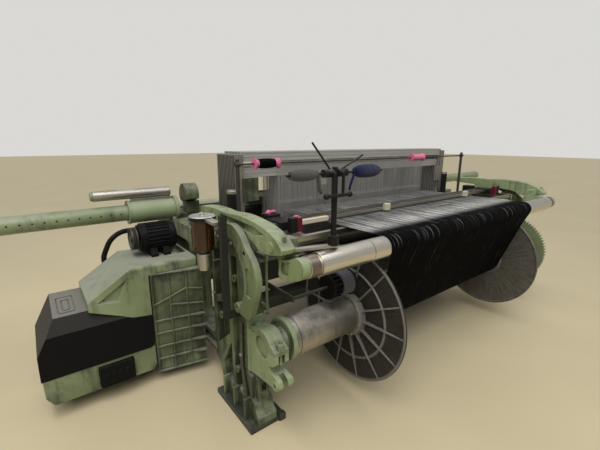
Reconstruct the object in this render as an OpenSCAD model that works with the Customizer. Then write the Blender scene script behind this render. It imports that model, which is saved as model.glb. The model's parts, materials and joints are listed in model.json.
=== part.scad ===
/* [Main sizes] */
// Width of the warp between the two beam flanges
warp_w = 1640; // [1200:10:1800]
// Width of the warp in the reed
reed_w = 1704; // [1200:4:1760]
// Half of the machine's width over the outer faces of the side frames
frame_out = 1440; // [1380:10:1600]
// Thickness of a side frame casting
frame_t = 110; // [80:5:140]
// Length of a foot along the machine's depth
foot_len = 403; // [300:1:460]
// Distance from the middle of the machine to the outer end of a foot
foot_reach = 810; // [760:5:900]
// Height of the warp line above the floor
warp_line = 1000; // [980:5:1020]

/* [Warp beam] */
// Distance of the beam's axis behind the middle of the machine
beam_back = 834; // [820:2:850]
// Height of the beam's axis
beam_z = 499; // [490:1:515]
// Diameter of the barrel
barrel_d = 210; // [160:5:220]
// Diameter of a beam flange
flange_d = 800; // [600:10:840]
// Thickness of a flange's sheet
flange_t = 7; // [4:1:12]
// Number of ribs pressed into a flange
flange_ribs = 14; // [8:1:20]
// Thickness of the yarn that is still wound on the barrel
wound_t = 9; // [4:1:30]
// Diameter of a beam journal
journal_d = 112; // [80:2:120]

/* [Backrest] */
// Distance of the whip roller's axis behind the middle of the machine
roller_back = 1066; // [1040:2:1090]
// Diameter of the whip roller
roller_d = 109; // [90:1:130]
// Radius of the tips of the two curved levers
lever_tip_r = 26; // [20:1:32]

/* [Rapier side] */
// Distance of the rapier line in front of the middle of the machine
rapier_y = 374; // [366:1:380]
// Outer diameter of a rapier tube
tube_d = 105; // [90:1:120]
// Wall of a rapier tube
tube_wall = 4; // [2.5:0.5:8]
// Far end of a rapier tube
tube_far = 2950; // [2850:10:3100]
// Outer diameter of the sleeve that clamps a tube
sleeve_d = 150; // [135:1:170]
// Spacing of the vent holes along a tube
vent_pitch = 57.6; // [45:0.1:80]
// Width of a rapier rod
rod_w = 24; // [16:1:30]
// Height of a rapier rod
rod_h = 17; // [10:1:20]

/* [Harness and reed] */
// Number of heald frames, which move in four groups
heald_frames = 12; // [8:4:12]
// Spacing of the heald frames
heald_pitch = 20; // [16:1:22]
// Half length of a heald frame
heald_half = 1140; // [1080:5:1160]
// Lift of a heald frame above and below the closed shed
heald_lift = 52; // [30:1:60]
// Number of healds that are drawn on each frame
healds = 48; // [12:4:60]
// Number of gaps between the dents that are drawn in the reed
reed_gaps = 82; // [20:1:110]
// Height of the reed
reed_h = 130; // [110:5:150]

/* [Cloth side] */
// Diameter of the take-up roller
takeup_d = 150; // [100:5:170]
// Diameter of the press roller
press_d = 80; // [50:5:90]
// Diameter of the cloth roll
cloth_roll_d = 230; // [120:5:300]

/* [Drive side] */
// Width of the black cover at the far left
cover_w = 566; // [500:2:600]
// Depth of the drive housing
housing_depth = 390; // [300:5:400]
// Height of the hood over the drive
hood_top = 770; // [740:5:790]
// Diameter of the oil bowl
bowl_d = 112; // [80:2:120]
// Diameter of the drive motor
motor_d = 180; // [120:5:190]

/* [Clearances] */
// Radial clearance of shafts that turn in a bore
run_fit = 0.06; // [0.02:0.01:0.1]
// Gap beside soft pieces
soft_gap = 0.4; // [0.3:0.05:0.8]

/* [Hidden] */

sage = [0.47, 0.54, 0.36];
dark_green = [0.25, 0.28, 0.22];
black = [0.08, 0.08, 0.08];
dark_steel = [0.28, 0.27, 0.26];
steel = [0.66, 0.65, 0.62];
bright = [0.8, 0.78, 0.72];
yarn_black = [0.05, 0.05, 0.06];

frame_in = frame_out - frame_t;
foot_out = frame_out + 46;
foot_in = foot_out - 207;
plate_t = 30;
foot_start = foot_reach - foot_len;
anchor_x = frame_in - 15;
anchor_y = foot_reach - 60;
anchor_d = 22;
deck_z = 930;
front_z = 945;
shoulder_z = 1010;
column_back = 706;

beam_y = -beam_back;
barrel_r = barrel_d / 2;
barrel_half = frame_out - 155;
flange_x = warp_w / 2 + 8;
wound_r = barrel_r + wound_t;
bearing_r = journal_d / 2 + 32;
bearing_in = frame_in + 20;
bearing_out = frame_out - 10;
cap_split = beam_z;
cap_hinge = [-(beam_back - bearing_r + 4), beam_z + 60];
hinge_dir = (cap_hinge - [-beam_back, beam_z]) / norm(cap_hinge - [-beam_back, beam_z]);
split_gap = [0.6, -0.6];

roller_y = -roller_back;
roller_z = warp_line + 11.5 - roller_d / 2;
roller_half = frame_in + 18;
roller_pin_r = 25;
arm_in = frame_in + 35;
arm_out = frame_out - 5;
bracket_out = arm_in - 3;
bracket_in = bracket_out - 50;
eye_in = roller_half + 3;
eye_out = eye_in + 40;
swing_pin = [-940, 1030];
swing_pin_r = 13;

gear_m = 8;
gear_teeth = 72;
pinion_teeth = 18;
gear_lean = 15;
gear_centres = gear_m * (gear_teeth + pinion_teeth) / 2;
pinion_y = beam_y + gear_centres * cos(gear_lean);
pinion_z = beam_z + gear_centres * sin(gear_lean);
gear_x = frame_in - 42;
gear_w = 30;
pinion_shaft_r = 20;

tube_r = tube_d / 2;
sleeve_in = frame_out - 46;
sleeve_out = sleeve_in + 326;
rod_z = warp_line;
rod_reach = 1750;
rod_rest = 1080;
rod_head = 120;

heald_y0 = -130;
heald_h = 700;
rail_h = 62;
rail_t = 9;
group_n = heald_frames / 4;
harness_end = heald_y0 + (heald_frames - 1) * heald_pitch;
harness_back = heald_y0 - 30;
fell_y = rapier_y + 81;
reed_y = rapier_y - 29;
reed_half = reed_w / 2 + 24;
cloth_half = reed_w / 2 - 4;
sley_axis = [reed_y + 55, 420];
sley_shaft_r = 40;

breast_y = fell_y + 165;
web_t = 1.6;
takeup_c = [590, 790];
nip_a = -110;
press_c = takeup_c + ((takeup_d + press_d) / 2 + web_t + 2 * soft_gap) * [cos(nip_a), sin(nip_a)];
cloth_c = [602, 420];
roller_shaft_r = 22;

cover_left = frame_out + 864;
cover_right = cover_left - cover_w;
house_front = -100;
house_back = house_front + housing_depth;
hood_left = cover_left - 250;
hood_right = frame_out + 10;
cover_top = hood_top - 200;
cover_low = 252;
panel_turn = 11;
panel_len = 300;
panel_top = hood_top - 62;
panel_low = 62;
panel_rib = 12;

oil_axis = [-(frame_out + 100), -469];
bowl_r = bowl_d / 2;
lid_top = 1103;
bowl_low = 912;
cup_low = 812;
column_w = 32;
column_d = 26;
column_in = frame_out + 58;
column_y = -649;
column_top = 1128;

motor_c = [120, hood_top + 22 + motor_d / 2];
motor_left = frame_out + 285;
motor_right = frame_out + 70;
gland_x = -motor_left + 85;

stand_x = -(frame_in - 144);
stand_y = roller_y + 6;
stand_flat_z = roller_z + roller_d / 2 + 10;
stand_top = stand_flat_z + 330;
spindle_z = stand_top - 12;
spindle_r = 5;
selvedge_c = [-900, 739];
selvedge_x = -flange_x - 242;
bobbin_y = -300;
bobbin_z = 1336;
rod_r = 6;
bobbin_x = -frame_in + 198;

hose_r = 17;
hose_end = [-hood_left + 174, house_back + 0.4, cover_top + 30];
hose_pts = [
    [gland_x - 0.4, 330, 888], [gland_x - 40, 330, 888], [gland_x - 84, 336, 888], [gland_x - 130, 344, 882],
    [gland_x - 172, 349, 862], [gland_x - 208, 350, 828], [gland_x - 232, 350, 784],
    hose_end + [-12, 57, 135],
    hose_end + [-14, 52, 90], hose_end + [-11, 48, 50], hose_end + [-6, 40, 18], hose_end + [-2, 28, 3],
    hose_end + [0, 14, 0], hose_end
];

function arc(c, r, a0, a1, n) = [for (i = [0:n]) c + r * [cos(a0 + (a1 - a0) * i / n),
    sin(a0 + (a1 - a0) * i / n)]];
function spline_at(a, b, c, d, t) = 0.5 * (2 * b + (c - a) * t + (2 * a - 5 * b + 4 * c - d) * t * t
    + (3 * b - a - 3 * c + d) * t * t * t);
function spline(p, n) = let (m = len(p) - 1) [for (i = [0:m - 1], j = [0:n - 1])
    spline_at(p[max(i - 1, 0)], p[i], p[i + 1], p[min(i + 2, m)], j / n)];
function smooth(p, n) = concat(spline(p, n), [p[len(p) - 1]]);
function rounded(x0, y0, x1, y1, r, n) = concat(
    arc([x1 - r, y1 - r], r, 0, 90, n), arc([x0 + r, y1 - r], r, 90, 180, n),
    arc([x0 + r, y0 + r], r, 180, 270, n), arc([x1 - r, y0 + r], r, 270, 360, n));
function side_of(p, i) = let (a = p[max(i - 1, 0)], b = p[min(i + 1, len(p) - 1)], d = b - a)
    [-d[1], d[0]] / norm(d);
function ribbon(p, t) = concat(p, [for (i = [len(p) - 1:-1:0]) p[i] + side_of(p, i) * t]);
function tangent_deg(c1, r1, c2, r2) = atan2(c2[1] - c1[1],
    c2[0] - c1[0]) + 90 - asin((r1 - r2) / norm(c2 - c1));
function rad(a) = a * 180 / PI;
function involute_deg(r, rb) = let (a = acos(rb / r)) rad(tan(a)) - a;
function gear_half(r, rp, rb, teeth, slack) = 90 / teeth - rad(slack / 2 / rp)
    + involute_deg(rp, rb) - involute_deg(max(r, rb), rb);
function gear_points(teeth, m, slack) = let (rp = teeth * m / 2, rb = rp * cos(20), rf = rp - 1.25 * m,
    ra = rp + 0.92 * m, r0 = max(rf, rb), steps = 3)
    [for (k = [0:teeth - 1], s = [-1, 1], i = [0:steps + 1])
        let (j = s < 0 ? i : steps + 1 - i, r = j == 0 ? rf : r0 + (ra - r0) * (j - 1) / steps,
            a = k * 360 / teeth + s * gear_half(r, rp, rb, teeth, slack))
        r * [cos(a), sin(a)]];

module along_x(x0, x1) translate([x0, 0, 0]) rotate([90, 0, 90]) linear_extrude(x1 - x0) children();
module along_y(y0, y1) translate([0, y1, 0]) rotate([90, 0, 0]) linear_extrude(y1 - y0) children();
module rod_x(x0, x1, c, r, fn = 48) translate([x0, c[0],
    c[1]]) rotate([0, 90, 0]) cylinder(h = x1 - x0, r = r, $fn = fn);
module box(a, b) translate(a) cube(b - a);
module pair() {
    children();
    mirror([1, 0, 0]) children();
}

frame_outline = [
    [-foot_reach, plate_t], [-foot_reach, 68], [-foot_reach + 26, 92], [-776, 120], [-770, 266],
        [-column_back, 300],
    [-column_back, 604], [-680, 690], [-668, 860], [-650, 950], [-600, shoulder_z],
    [-420, shoulder_z], [-360, deck_z], [440, deck_z], [520, front_z], [660, front_z],
    [706, 880], [720, 600], [752, 330], [foot_reach - 26, 92], [foot_reach, 68],
    [foot_reach, plate_t], [foot_start, plate_t], [foot_start, 70], [360, 180], [300, 215],
    [-300, 215], [-360, 180], [-foot_start, 70], [-foot_start, plate_t]
];

frame_bosses = [[-600, 250, 20], [-420, 500, 22], [-600, 780, 20]];

module frame_pocket(p, depth = 42) {
    along_x(frame_out - depth, frame_out + 1) polygon(p);
    along_x(frame_in - 1, frame_in + 22) polygon(p);
}

module side_frame() {
    difference() {
        along_x(frame_in, frame_out) polygon(frame_outline);
        along_x(frame_in - 1, frame_out + 1) polygon(rounded(-320, 330, -30, 830, 50, 6));
        along_x(frame_in - 1, frame_out + 1) polygon(rounded(30, 330, 320, 830, 50, 6));
        frame_pocket([[-742, 120], [-690, 120], [-650, 330], [-660, 560], [-686, 560], [-684, 300]]);
        frame_pocket([[-662, 120], [-572, 120], [-552, 420], [-566, 900], [-628, 900], [-632, 560],
            [-622, 330]]);
        frame_pocket([[-544, 120], [-440, 120], [-424, 210], [-530, 380]]);
        frame_pocket([[-520, 430], [-360, 300], [-352, 560], [-516, 610]]);
        frame_pocket([[-516, 650], [-352, 600], [-352, 870], [-436, 960], [-530, 960]]);
        frame_pocket([[-330, 240], [330, 240], [330, 300], [-330, 300]]);
        frame_pocket([[360, 240], [430, 120], [700, 120], [690, 300], [480, 330], [360, 330]]);
        frame_pocket([[352, 560], [500, 600], [490, 700], [352, 840]]);
        for (c = [takeup_c, cloth_c, press_c])
            rod_x(frame_in - 1, frame_out + 1, c, roller_shaft_r);
        rod_x(frame_in - 1, frame_out + 1, sley_axis, sley_shaft_r);
        rod_x(frame_in - 1, frame_out + 1, [pinion_y, pinion_z], pinion_shaft_r + 4);
        for (z = [300, 540], y = [-column_back + 22])
            rod_x(frame_in - 1, frame_out + 1, [y, z], 8);
        for (x = [frame_in - 1, frame_out - 23])
            along_x(x, x + 24) polygon([[-foot_reach - 1, 112], [-742, 150], [-742, 306],
                [-foot_reach - 1, 306]]);
        box([frame_in + 38, -foot_reach, 190], [frame_in + 66, -750, 240]);
        rod_x(sleeve_in - 1, frame_out + 1, [rapier_y, rod_z], sleeve_d / 2 + 12.1, 72);
    }
    for (y = [-720, -600, -480])
        along_x(frame_out - 1, frame_out + 34)
            polygon([[y - 7, plate_t], [y + 7, plate_t], [y + 7, 150], [y - 7, 150]]);
    for (p = frame_bosses)
        difference() {
            rod_x(frame_out - 43, frame_out + 6, [p[0], p[1]], p[2]);
            rod_x(frame_out - 30, frame_out + 7, [p[0], p[1]], p[2] / 2);
        }
}

module left_side_frame() color(sage) mirror([1, 0, 0]) side_frame();
module right_side_frame() color(sage) side_frame();

module floor_plates() color(dark_green)
    pair() for (s = [-1, 1]) scale([1, s, 1])
        difference() {
            union() {
                box([foot_in, foot_start, 0], [foot_out, foot_reach, plate_t]);
                along_x(foot_in, frame_in - 12)
                    polygon([[foot_reach - 1, 0], [foot_reach + 12, 0], [foot_reach + 12, 40],
                        [foot_reach - 14, 40],
                        [foot_reach - 26, plate_t - 1], [foot_reach - 1, plate_t - 1]]);
            }
            translate([anchor_x, anchor_y, -1]) cylinder(h = plate_t + 2, d = anchor_d, $fn = 48);
        }

module cross_beams() color(dark_green) {
    difference() {
        along_x(-frame_in, frame_in) polygon(rounded(-408, 620, -330, 760, 14, 4));
        along_x(-frame_in + 20, frame_in - 20) polygon(rounded(-398, 630, -340, 750, 10, 4));
    }
    difference() {
        along_x(-frame_in, frame_in) polygon(rounded(-70, 225, 70, 315, 14, 4));
        along_x(-frame_in + 20, frame_in - 20) polygon(rounded(-60, 235, 60, 305, 10, 4));
    }
}

module breast_beam() color(sage) {
    difference() {
        along_x(-frame_in, frame_in)
            polygon(concat([[breast_y - 30, 900]], arc(breast_c, 40, 180, 0, 12), [[breast_y + 24, 900]]));
        along_x(-frame_in + 20, frame_in - 20)
            polygon(concat([[breast_y - 20, 899]], arc(breast_c, 28, 180, 0, 12), [[breast_y + 14, 899]]));
    }
    pair() box([frame_in, breast_y - 30, front_z], [frame_out - 20, breast_y + 30, 985]);
}

function on_split(d) = [beam_y, beam_z] + d * hinge_dir;

module beam_bracket() {
    lug_back = beam_y - bearing_r - 8;
    fork = [-958, 360];
    difference() {
        union() {
            along_x(bearing_in, bearing_out)
                polygon([[-column_back - 20, 306], [-column_back - 20, cap_hinge[1] - 14],
                    on_split(84) + split_gap,
                    on_split(40) + split_gap, [beam_y, cap_split], [lug_back - 22, cap_split],
                    [lug_back - 22, cap_split - 40], [lug_back, cap_split - 58], [-898, 428], [-908, 404],
                    [-950, 396], [-978, 382], [-988, 358], [-976, 338], [-930, 332], [-839, 322]]);
            along_x(frame_in + 5, frame_out - 3)
                polygon([[-column_back - 20, 306], [-column_back, 306], [-column_back, 600],
                    [-column_back - 20, 540]]);
            rod_x(bearing_in - 8, bearing_out + 8, fork, 24);
            rod_x(bearing_in + 26, bearing_out - 26, cap_hinge, 12);
            along_x(bearing_in + 26, bearing_out - 26)
                polygon([cap_hinge - [0, 12], [-column_back - 19, 480],
                    [-column_back - 19, cap_hinge[1] + 12],
                    cap_hinge + [0, 12]]);
        }
        rod_x(bearing_in - 1, bearing_out + 1, [beam_y, beam_z], journal_d / 2, 96);
        rod_x(bearing_in - 9, bearing_out + 9, fork, 10);
        box([bearing_in + 26, fork[0] - 40, fork[1] - 40], [bearing_out - 26, fork[0] + 20, fork[1] + 60]);
        box([bearing_in + 22, lug_back - 23, cap_split - 62],
            [bearing_out - 22, lug_back + 2, cap_split + 1]);
        rod_x(bearing_in - 1, bearing_out + 1, cap_hinge, 5 + run_fit);
        for (x = [bearing_in - 1, bearing_out - 27 + run_fit])
            rod_x(x, x + 28 - run_fit, cap_hinge, 17);
        along_x(bearing_in - 1, bearing_in + 20)
            polygon([[-744, 330], [-744, 420], [-800, 400], [-880, 345]]);
    }
}

module beam_brackets() color(sage) pair() beam_bracket();

module bearing_cap() {
    lug_back = beam_y - bearing_r - 8;
    difference() {
        along_x(bearing_in, bearing_out)
            polygon(concat([[beam_y, cap_split + 0.6],
                on_split(40), on_split(norm(cap_hinge - [beam_y, beam_z]) - 12)],
                [cap_hinge + [4, -11], cap_hinge + [11, -6], cap_hinge + [8, 9], cap_hinge + [-5, 13]],
                arc([beam_y, beam_z], bearing_r, 60, 150, 12),
                [[lug_back + 8, cap_split + 40], [lug_back - 22, cap_split + 24],
                [lug_back - 22, cap_split + 0.6]]));
        rod_x(bearing_in - 1, bearing_out + 1, [beam_y, beam_z], journal_d / 2 + 1, 96);
        box([bearing_in + 25.5, cap_hinge[0] - 15, cap_split - 2],
            [bearing_out - 25.5, cap_hinge[0] + 20, cap_split + 90]);
    }
    rod_x(bearing_in + 2, bearing_out - 2, cap_hinge, 5);
    translate([(bearing_in + bearing_out) / 2, lug_back - 10, cap_split - 52]) {
        cylinder(h = 130, r = 8, $fn = 32);
        translate([0, 0, 76]) cylinder(h = 34, r = 19, $fn = 24);
    }
}

module left_bearing_cap() color(sage) mirror([1, 0, 0]) bearing_cap();
module right_bearing_cap() color(sage) bearing_cap();

arm_top = smooth([[-200, 1102], [-380, 1116], [-520, 1112], [-661, 1122], [-817, 1113], [-923, 1093],
    [-983, 1066], [-1025, 1033]], 3);
arm_under = smooth([[-1022, 1014], [-974, 1001], [-896, 987], [-830, 998], [-770, 1024], [-665, 1034],
    [-590, 1036]], 3);

module backrest_arm() {
    difference() {
        along_x(arm_in, arm_out)
            polygon(concat(arm_top, arm_under, [[-580, shoulder_z], [-440, shoulder_z], [-400, 1052],
                [-200, 1062]]));
        along_x(arm_out - 14, arm_out + 1)
            polygon([[-450, 1066], [-450, 1096], [-800, 1092], [-880, 1072], [-800, 1050], [-660, 1060]]);
    }
    rod_x(arm_out - 14, arm_out + 6, swing_pin, 24);
    rod_x(bracket_in + 2, arm_in + 1, swing_pin, swing_pin_r);
    translate([(arm_in + arm_out) / 2, -990, 1058]) cylinder(h = 26, r = 11, $fn = 6);
}

module backrest_arms() color(sage) pair() backrest_arm();

lever_out = smooth([[-560, 1066], [-650, 1080], [-725, 1050], [-780, 992], [-852, 928], [-876, 842],
    [-852, 760], [-822, 694]], 3);
lever_in = smooth([[-716, 684], [-748, 740], [-757, 810], [-748, 880], [-703, 952], [-640, 1000],
    [-560, 1026]], 3);

module curved_bracket() {
    difference() {
        union() {
            along_x(frame_out, frame_out + 32)
                polygon(concat(lever_out, arc([-766, 684], 2 * lever_tip_r, -170, -10, 8), lever_in));
            rod_x(frame_out, frame_out + 40, [-690, 664], lever_tip_r);
            along_x(frame_out, frame_out + 32)
                polygon([[-760, 634], [-690, 638], [-664, 664], [-690, 690], [-740, 700]]);
            rod_x(arm_out, frame_out + 2, [-620, 1046], 22);
        }
        rod_x(frame_out - 1, frame_out + 41, [-690, 664], 10);
        rod_x(frame_out + 12, frame_out + 41, [-768, 962], 13);
        along_x(frame_out + 24, frame_out + 33)
            polygon(concat(smooth([[-800, 900], [-840, 842], [-815, 750]], 4), smooth([[-780, 760],
                [-782, 830], [-770, 890]], 4)));
    }
    for (q = [[-756, 896, -660.8, 920, -656], [-756, 640, -695.1, 656, -690.3]])
        along_x(frame_in, frame_in + 14)
            polygon([[q[0], q[1]], [q[2], q[1]], [q[4], q[3]], [q[0], q[3]]]);
    translate([frame_in + 6, -744, 606]) cylinder(h = 324, r = 7, $fn = 24);
    translate([frame_in + 6, -744, 612]) cylinder(h = 14, r = 12, $fn = 6);
    translate([frame_in + 6, -744, 900]) cylinder(h = 14, r = 12, $fn = 6);
}

module curved_brackets() color(sage) pair() curved_bracket();

module roller_bracket() {
    difference() {
        union() {
            along_x(bracket_in, bracket_out)
                polygon([[-905, 1058], [-968, 1058], [-972, 1006], [-1028, 1002], [-1028, 896], [-940, 872],
                    [-892, 900], [-884, 980]]);
            along_x(eye_in, eye_out)
                polygon(concat([[-944, 966], [-1000, 980]], arc([roller_y, roller_z], 47, 62, 262, 16),
                    [[-1012, 886], [-950, 876], [-930, 896]]));
            along_x(bracket_in - 5, bracket_in + 1) polygon([[-920, 880], [-905, 880], [-900, 1050],
                [-915, 1050]]);
        }
        rod_x(bracket_in - 6, eye_in, [roller_y, roller_z], roller_d / 2 + 4, 72);
        rod_x(eye_in - 1, eye_out - 10, [roller_y, roller_z], roller_pin_r + run_fit);
        rod_x(bracket_in - 1, bracket_out + 1, swing_pin, swing_pin_r + run_fit);
        along_x(eye_out - 12, eye_out + 1) polygon([[-1014, 974], [-956, 958], [-948, 936], [-960, 902],
            [-1004, 908]]);
    }
    for (c = [[-948, 890], [-1004, 906]])
        rod_x(bracket_in - 12, bracket_in, c, 12, 6);
}

module left_roller_bracket() color(sage) mirror([1, 0, 0]) roller_bracket();
module right_roller_bracket() color(sage) roller_bracket();

module whip_roller() color(bright) {
    translate([-roller_half, roller_y, roller_z]) rotate([0, 90, 0]) rotate_extrude($fn = 120)
        polygon([[0, 0], [roller_d / 2 - 8, 0], [roller_d / 2 - 5, 3], [roller_d / 2 - 5, 52],
            [roller_d / 2 - 9, 52],
            [roller_d / 2 - 9, 60], [roller_d / 2, 60], [roller_d / 2, 380], [roller_d / 2 - 2, 381],
            [roller_d / 2 - 2, 384],
            [roller_d / 2, 385], [roller_d / 2, 2 * roller_half - 60],
            [roller_d / 2 - 9, 2 * roller_half - 60], [roller_d / 2 - 9, 2 * roller_half - 52],
            [roller_d / 2 - 5, 2 * roller_half - 52], [roller_d / 2 - 5, 2 * roller_half - 3],
            [roller_d / 2 - 8, 2 * roller_half], [0, 2 * roller_half]]);
    pair() rod_x(roller_half - 1, eye_out - 11, [roller_y, roller_z], roller_pin_r);
}

module beam_barrel() color(steel)
    translate([-barrel_half, beam_y, beam_z]) rotate([0, 90, 0]) rotate_extrude($fn = 128)
        polygon([[0, 0], [barrel_r - 3, 0], [barrel_r, 3], [barrel_r, 18], [barrel_r - 4, 20],
            [barrel_r - 4, 28], [barrel_r, 30], [barrel_r, 2 * barrel_half - 30],
            [barrel_r - 4, 2 * barrel_half - 28],
            [barrel_r - 4, 2 * barrel_half - 20], [barrel_r, 2 * barrel_half - 18],
            [barrel_r, 2 * barrel_half - 3], [barrel_r - 3, 2 * barrel_half], [0, 2 * barrel_half]]);

module beam_flange() {
    rim_r = flange_d / 2 - 9;
    hub_r = barrel_r + 24;
    translate([flange_x, beam_y, beam_z]) rotate([0, 90, 0]) {
        rotate_extrude($fn = 180)
            polygon([[barrel_r, -8], [hub_r - 4, -8], [hub_r, -4], [hub_r, 0], [rim_r, 0], [rim_r, flange_t],
                [rim_r * 0.68 + 8, flange_t], [rim_r * 0.68 + 4, flange_t + 6],
                [rim_r * 0.68 - 4, flange_t + 6],
                [rim_r * 0.68 - 8, flange_t], [hub_r + 4, flange_t], [hub_r - 2, flange_t + 34],
                [hub_r - 8, flange_t + 40], [barrel_r, flange_t + 40]]);
        rotate_extrude($fn = 180) translate([rim_r, flange_t / 2]) circle(r = 9, $fn = 16);
        for (k = [0:flange_ribs - 1])
            rotate([0, 0, 360 * (k + 0.5) / flange_ribs])
                translate([hub_r - 6, 0, flange_t / 2]) rotate([90, 0, 0]) translate([0, 0, -3.5])
                    linear_extrude(7) polygon([[0, 0], [rim_r - hub_r, 0], [rim_r - hub_r, 6], [0, 26]]);
        for (k = [0:7])
            rotate([0, 0, 45 * k + 10]) translate([hub_r - 12, 0, flange_t + 39])
                cylinder(h = 8, r = 6, $fn = 6);
    }
}

module left_beam_flange() color(dark_steel) mirror([1, 0, 0]) beam_flange();
module right_beam_flange() color(dark_steel) beam_flange();

module beam_journal(x0, x1) rod_x(x0, x1, [beam_y, beam_z], journal_d / 2 - run_fit, 96);

module beam_coupling() color(sage) mirror([1, 0, 0]) {
    translate([barrel_half, beam_y, beam_z]) rotate([0, 90, 0]) rotate_extrude($fn = 96)
        polygon([[0, 0], [barrel_r + 3, 0], [barrel_r + 6, 3], [barrel_r + 6, 22], [barrel_r + 2, 26],
            [barrel_r - 14, 26], [barrel_r - 18, 22], [journal_d / 2 + 8, 24], [journal_d / 2, 40], [0, 40]]);
    beam_journal(barrel_half + 38, bearing_out - 12);
}

module beam_gear() color(sage) {
    difference() {
        translate([gear_x, beam_y, beam_z]) rotate([90, 0, 90]) rotate([0, 0, gear_lean])
            linear_extrude(gear_w) polygon(gear_points(gear_teeth, gear_m, 0.8));
        for (k = [0:5])
            rotate_beam(60 * k + 30) translate([0, 160, 0]) rod_x(gear_x - 1, gear_x + gear_w + 1, [0, 0],
                46);
    }
    rod_x(barrel_half, gear_x + gear_w + 6, [beam_y, beam_z], barrel_r - 20);
    rotate_extrude_x(gear_x - 6, [[170, 0], [180, 0], [180, 8], [170, 8]]);
    beam_journal(gear_x + gear_w, bearing_out + 6);
    rod_x(bearing_out + 6, bearing_out + 14, [beam_y, beam_z], journal_d / 2 + 10);
}

module rotate_beam(a) translate([0, beam_y, beam_z]) rotate([a, 0, 0]) children();
module rotate_extrude_x(x0, p) translate([x0, beam_y, beam_z]) rotate([0, 90,
    0]) rotate_extrude($fn = 96) polygon(p);

module warp_winding() color(yarn_black)
    rotate_extrude_x(-warp_w / 2, [[barrel_r + 0.02, 0], [wound_r - 2, 0], [wound_r, 12],
        [wound_r, warp_w - 12],
        [wound_r - 2, warp_w], [barrel_r + 0.02, warp_w]]);

module letoff_housing() color(sage) difference() {
    union() {
        along_x(frame_out, frame_out + 130)
            polygon(rounded(pinion_y - 120, pinion_z - 150, pinion_y + 110, pinion_z + 130, 34, 6));
        rod_x(frame_out + 130, frame_out + 150, [pinion_y, pinion_z], 70);
        rod_x(frame_out + 130, frame_out + 270, [pinion_y + 20, pinion_z - 80], 56);
        for (a = [0:60:300])
            rod_x(frame_out + 150, frame_out + 158,
                [pinion_y + 56 * cos(a), pinion_z + 56 * sin(a)], 7, 6);
    }
    rod_x(frame_out - 1, frame_out + 40, [pinion_y, pinion_z], pinion_shaft_r + run_fit);
    for (p = frame_bosses) rod_x(frame_out - 1, frame_out + 6.1, [p[0], p[1]], p[2] + 0.1);
}

module letoff_pinion() color(steel) {
    translate([gear_x, pinion_y, pinion_z]) rotate([90, 0, 90])
        rotate([0, 0, gear_lean + 180 + 180 / pinion_teeth])
            linear_extrude(gear_w) polygon(gear_points(pinion_teeth, gear_m, 0.8));
    rod_x(gear_x + gear_w - 1, frame_out + 38, [pinion_y, pinion_z], pinion_shaft_r);
}

module steel_column() color(dark_steel) mirror([1, 0, 0]) {
    difference() {
        box([column_in, column_y - column_d / 2, 600],
            [column_in + column_w, column_y + column_d / 2, column_top]);
        box([column_in - 1, column_y - column_d / 2 + 4, 599],
            [column_in + column_w - 5, column_y + column_d / 2 - 4, column_top + 1]);
    }
    box([frame_out, column_y - 8, 596], [column_in + column_w, column_y + 8, 632]);
    for (z = [700, 820])
        rod_x(column_in + column_w, column_in + column_w + 8, [column_y, z], 9, 6);
}

module oil_bowl() color([0.42, 0.24, 0.06]) translate([oil_axis[0], oil_axis[1], 0])
    rotate_extrude($fn = 72)
        polygon([[0, bowl_low], [bowl_r - 16, bowl_low], [bowl_r - 4, bowl_low + 14], [bowl_r, bowl_low + 34],
            [bowl_r, lid_top - 20], [bowl_r - 4, lid_top - 20], [bowl_r - 4, bowl_low + 34],
            [bowl_r - 8, bowl_low + 18], [0, bowl_low + 8]]);

module oil_lid() color(steel) translate([oil_axis[0], oil_axis[1], 0]) {
    rotate_extrude($fn = 72)
        polygon([[0, lid_top - 20], [bowl_r + 8, lid_top - 20], [bowl_r + 11, lid_top - 16],
            [bowl_r + 11, lid_top - 4],
            [bowl_r + 6, lid_top], [14, lid_top + 2], [12, lid_top + 8], [0, lid_top + 8]]);
    along_y(column_y + column_d / 2 - oil_axis[1], 0)
        polygon([[-16, lid_top - 20], [26, lid_top - 20], [26, lid_top - 8], [-16, lid_top - 8]]);
}

module oil_cup() color(steel) translate([oil_axis[0], oil_axis[1], 0]) {
    rotate_extrude($fn = 64)
        polygon([[0, cup_low], [28, cup_low], [36, cup_low + 6], [38, cup_low + 20], [38, bowl_low - 14],
            [32, bowl_low - 8], [18, bowl_low - 4], [18, bowl_low], [0, bowl_low]]);
    rod_x(30, 100 + 42, [0, cup_low + 40], 4, 24);
}

module panel_box(x0, x1, z0, z1, y0, y1) box([x0, y0, z0], [x1, y1, z1]);

module panel_rib_line(p, w = 8) for (i = [0:len(p) - 2])
    let (d = p[i + 1] - p[i], n = [-d[1], d[0]] / norm(d) * w / 2)
        along_y(-panel_rib, 1) polygon([p[i] - n, p[i + 1] - n, p[i + 1] + n, p[i] + n]);

module panel_fin(z)
    translate([panel_len * 0.7, 1, z - 5]) linear_extrude(10)
        polygon([[0, 0], [0, -panel_rib], [panel_len * 0.1, -panel_rib - 12],
            [panel_len * 0.3, -panel_rib - 16], [panel_len * 0.3, 0]]);

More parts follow.
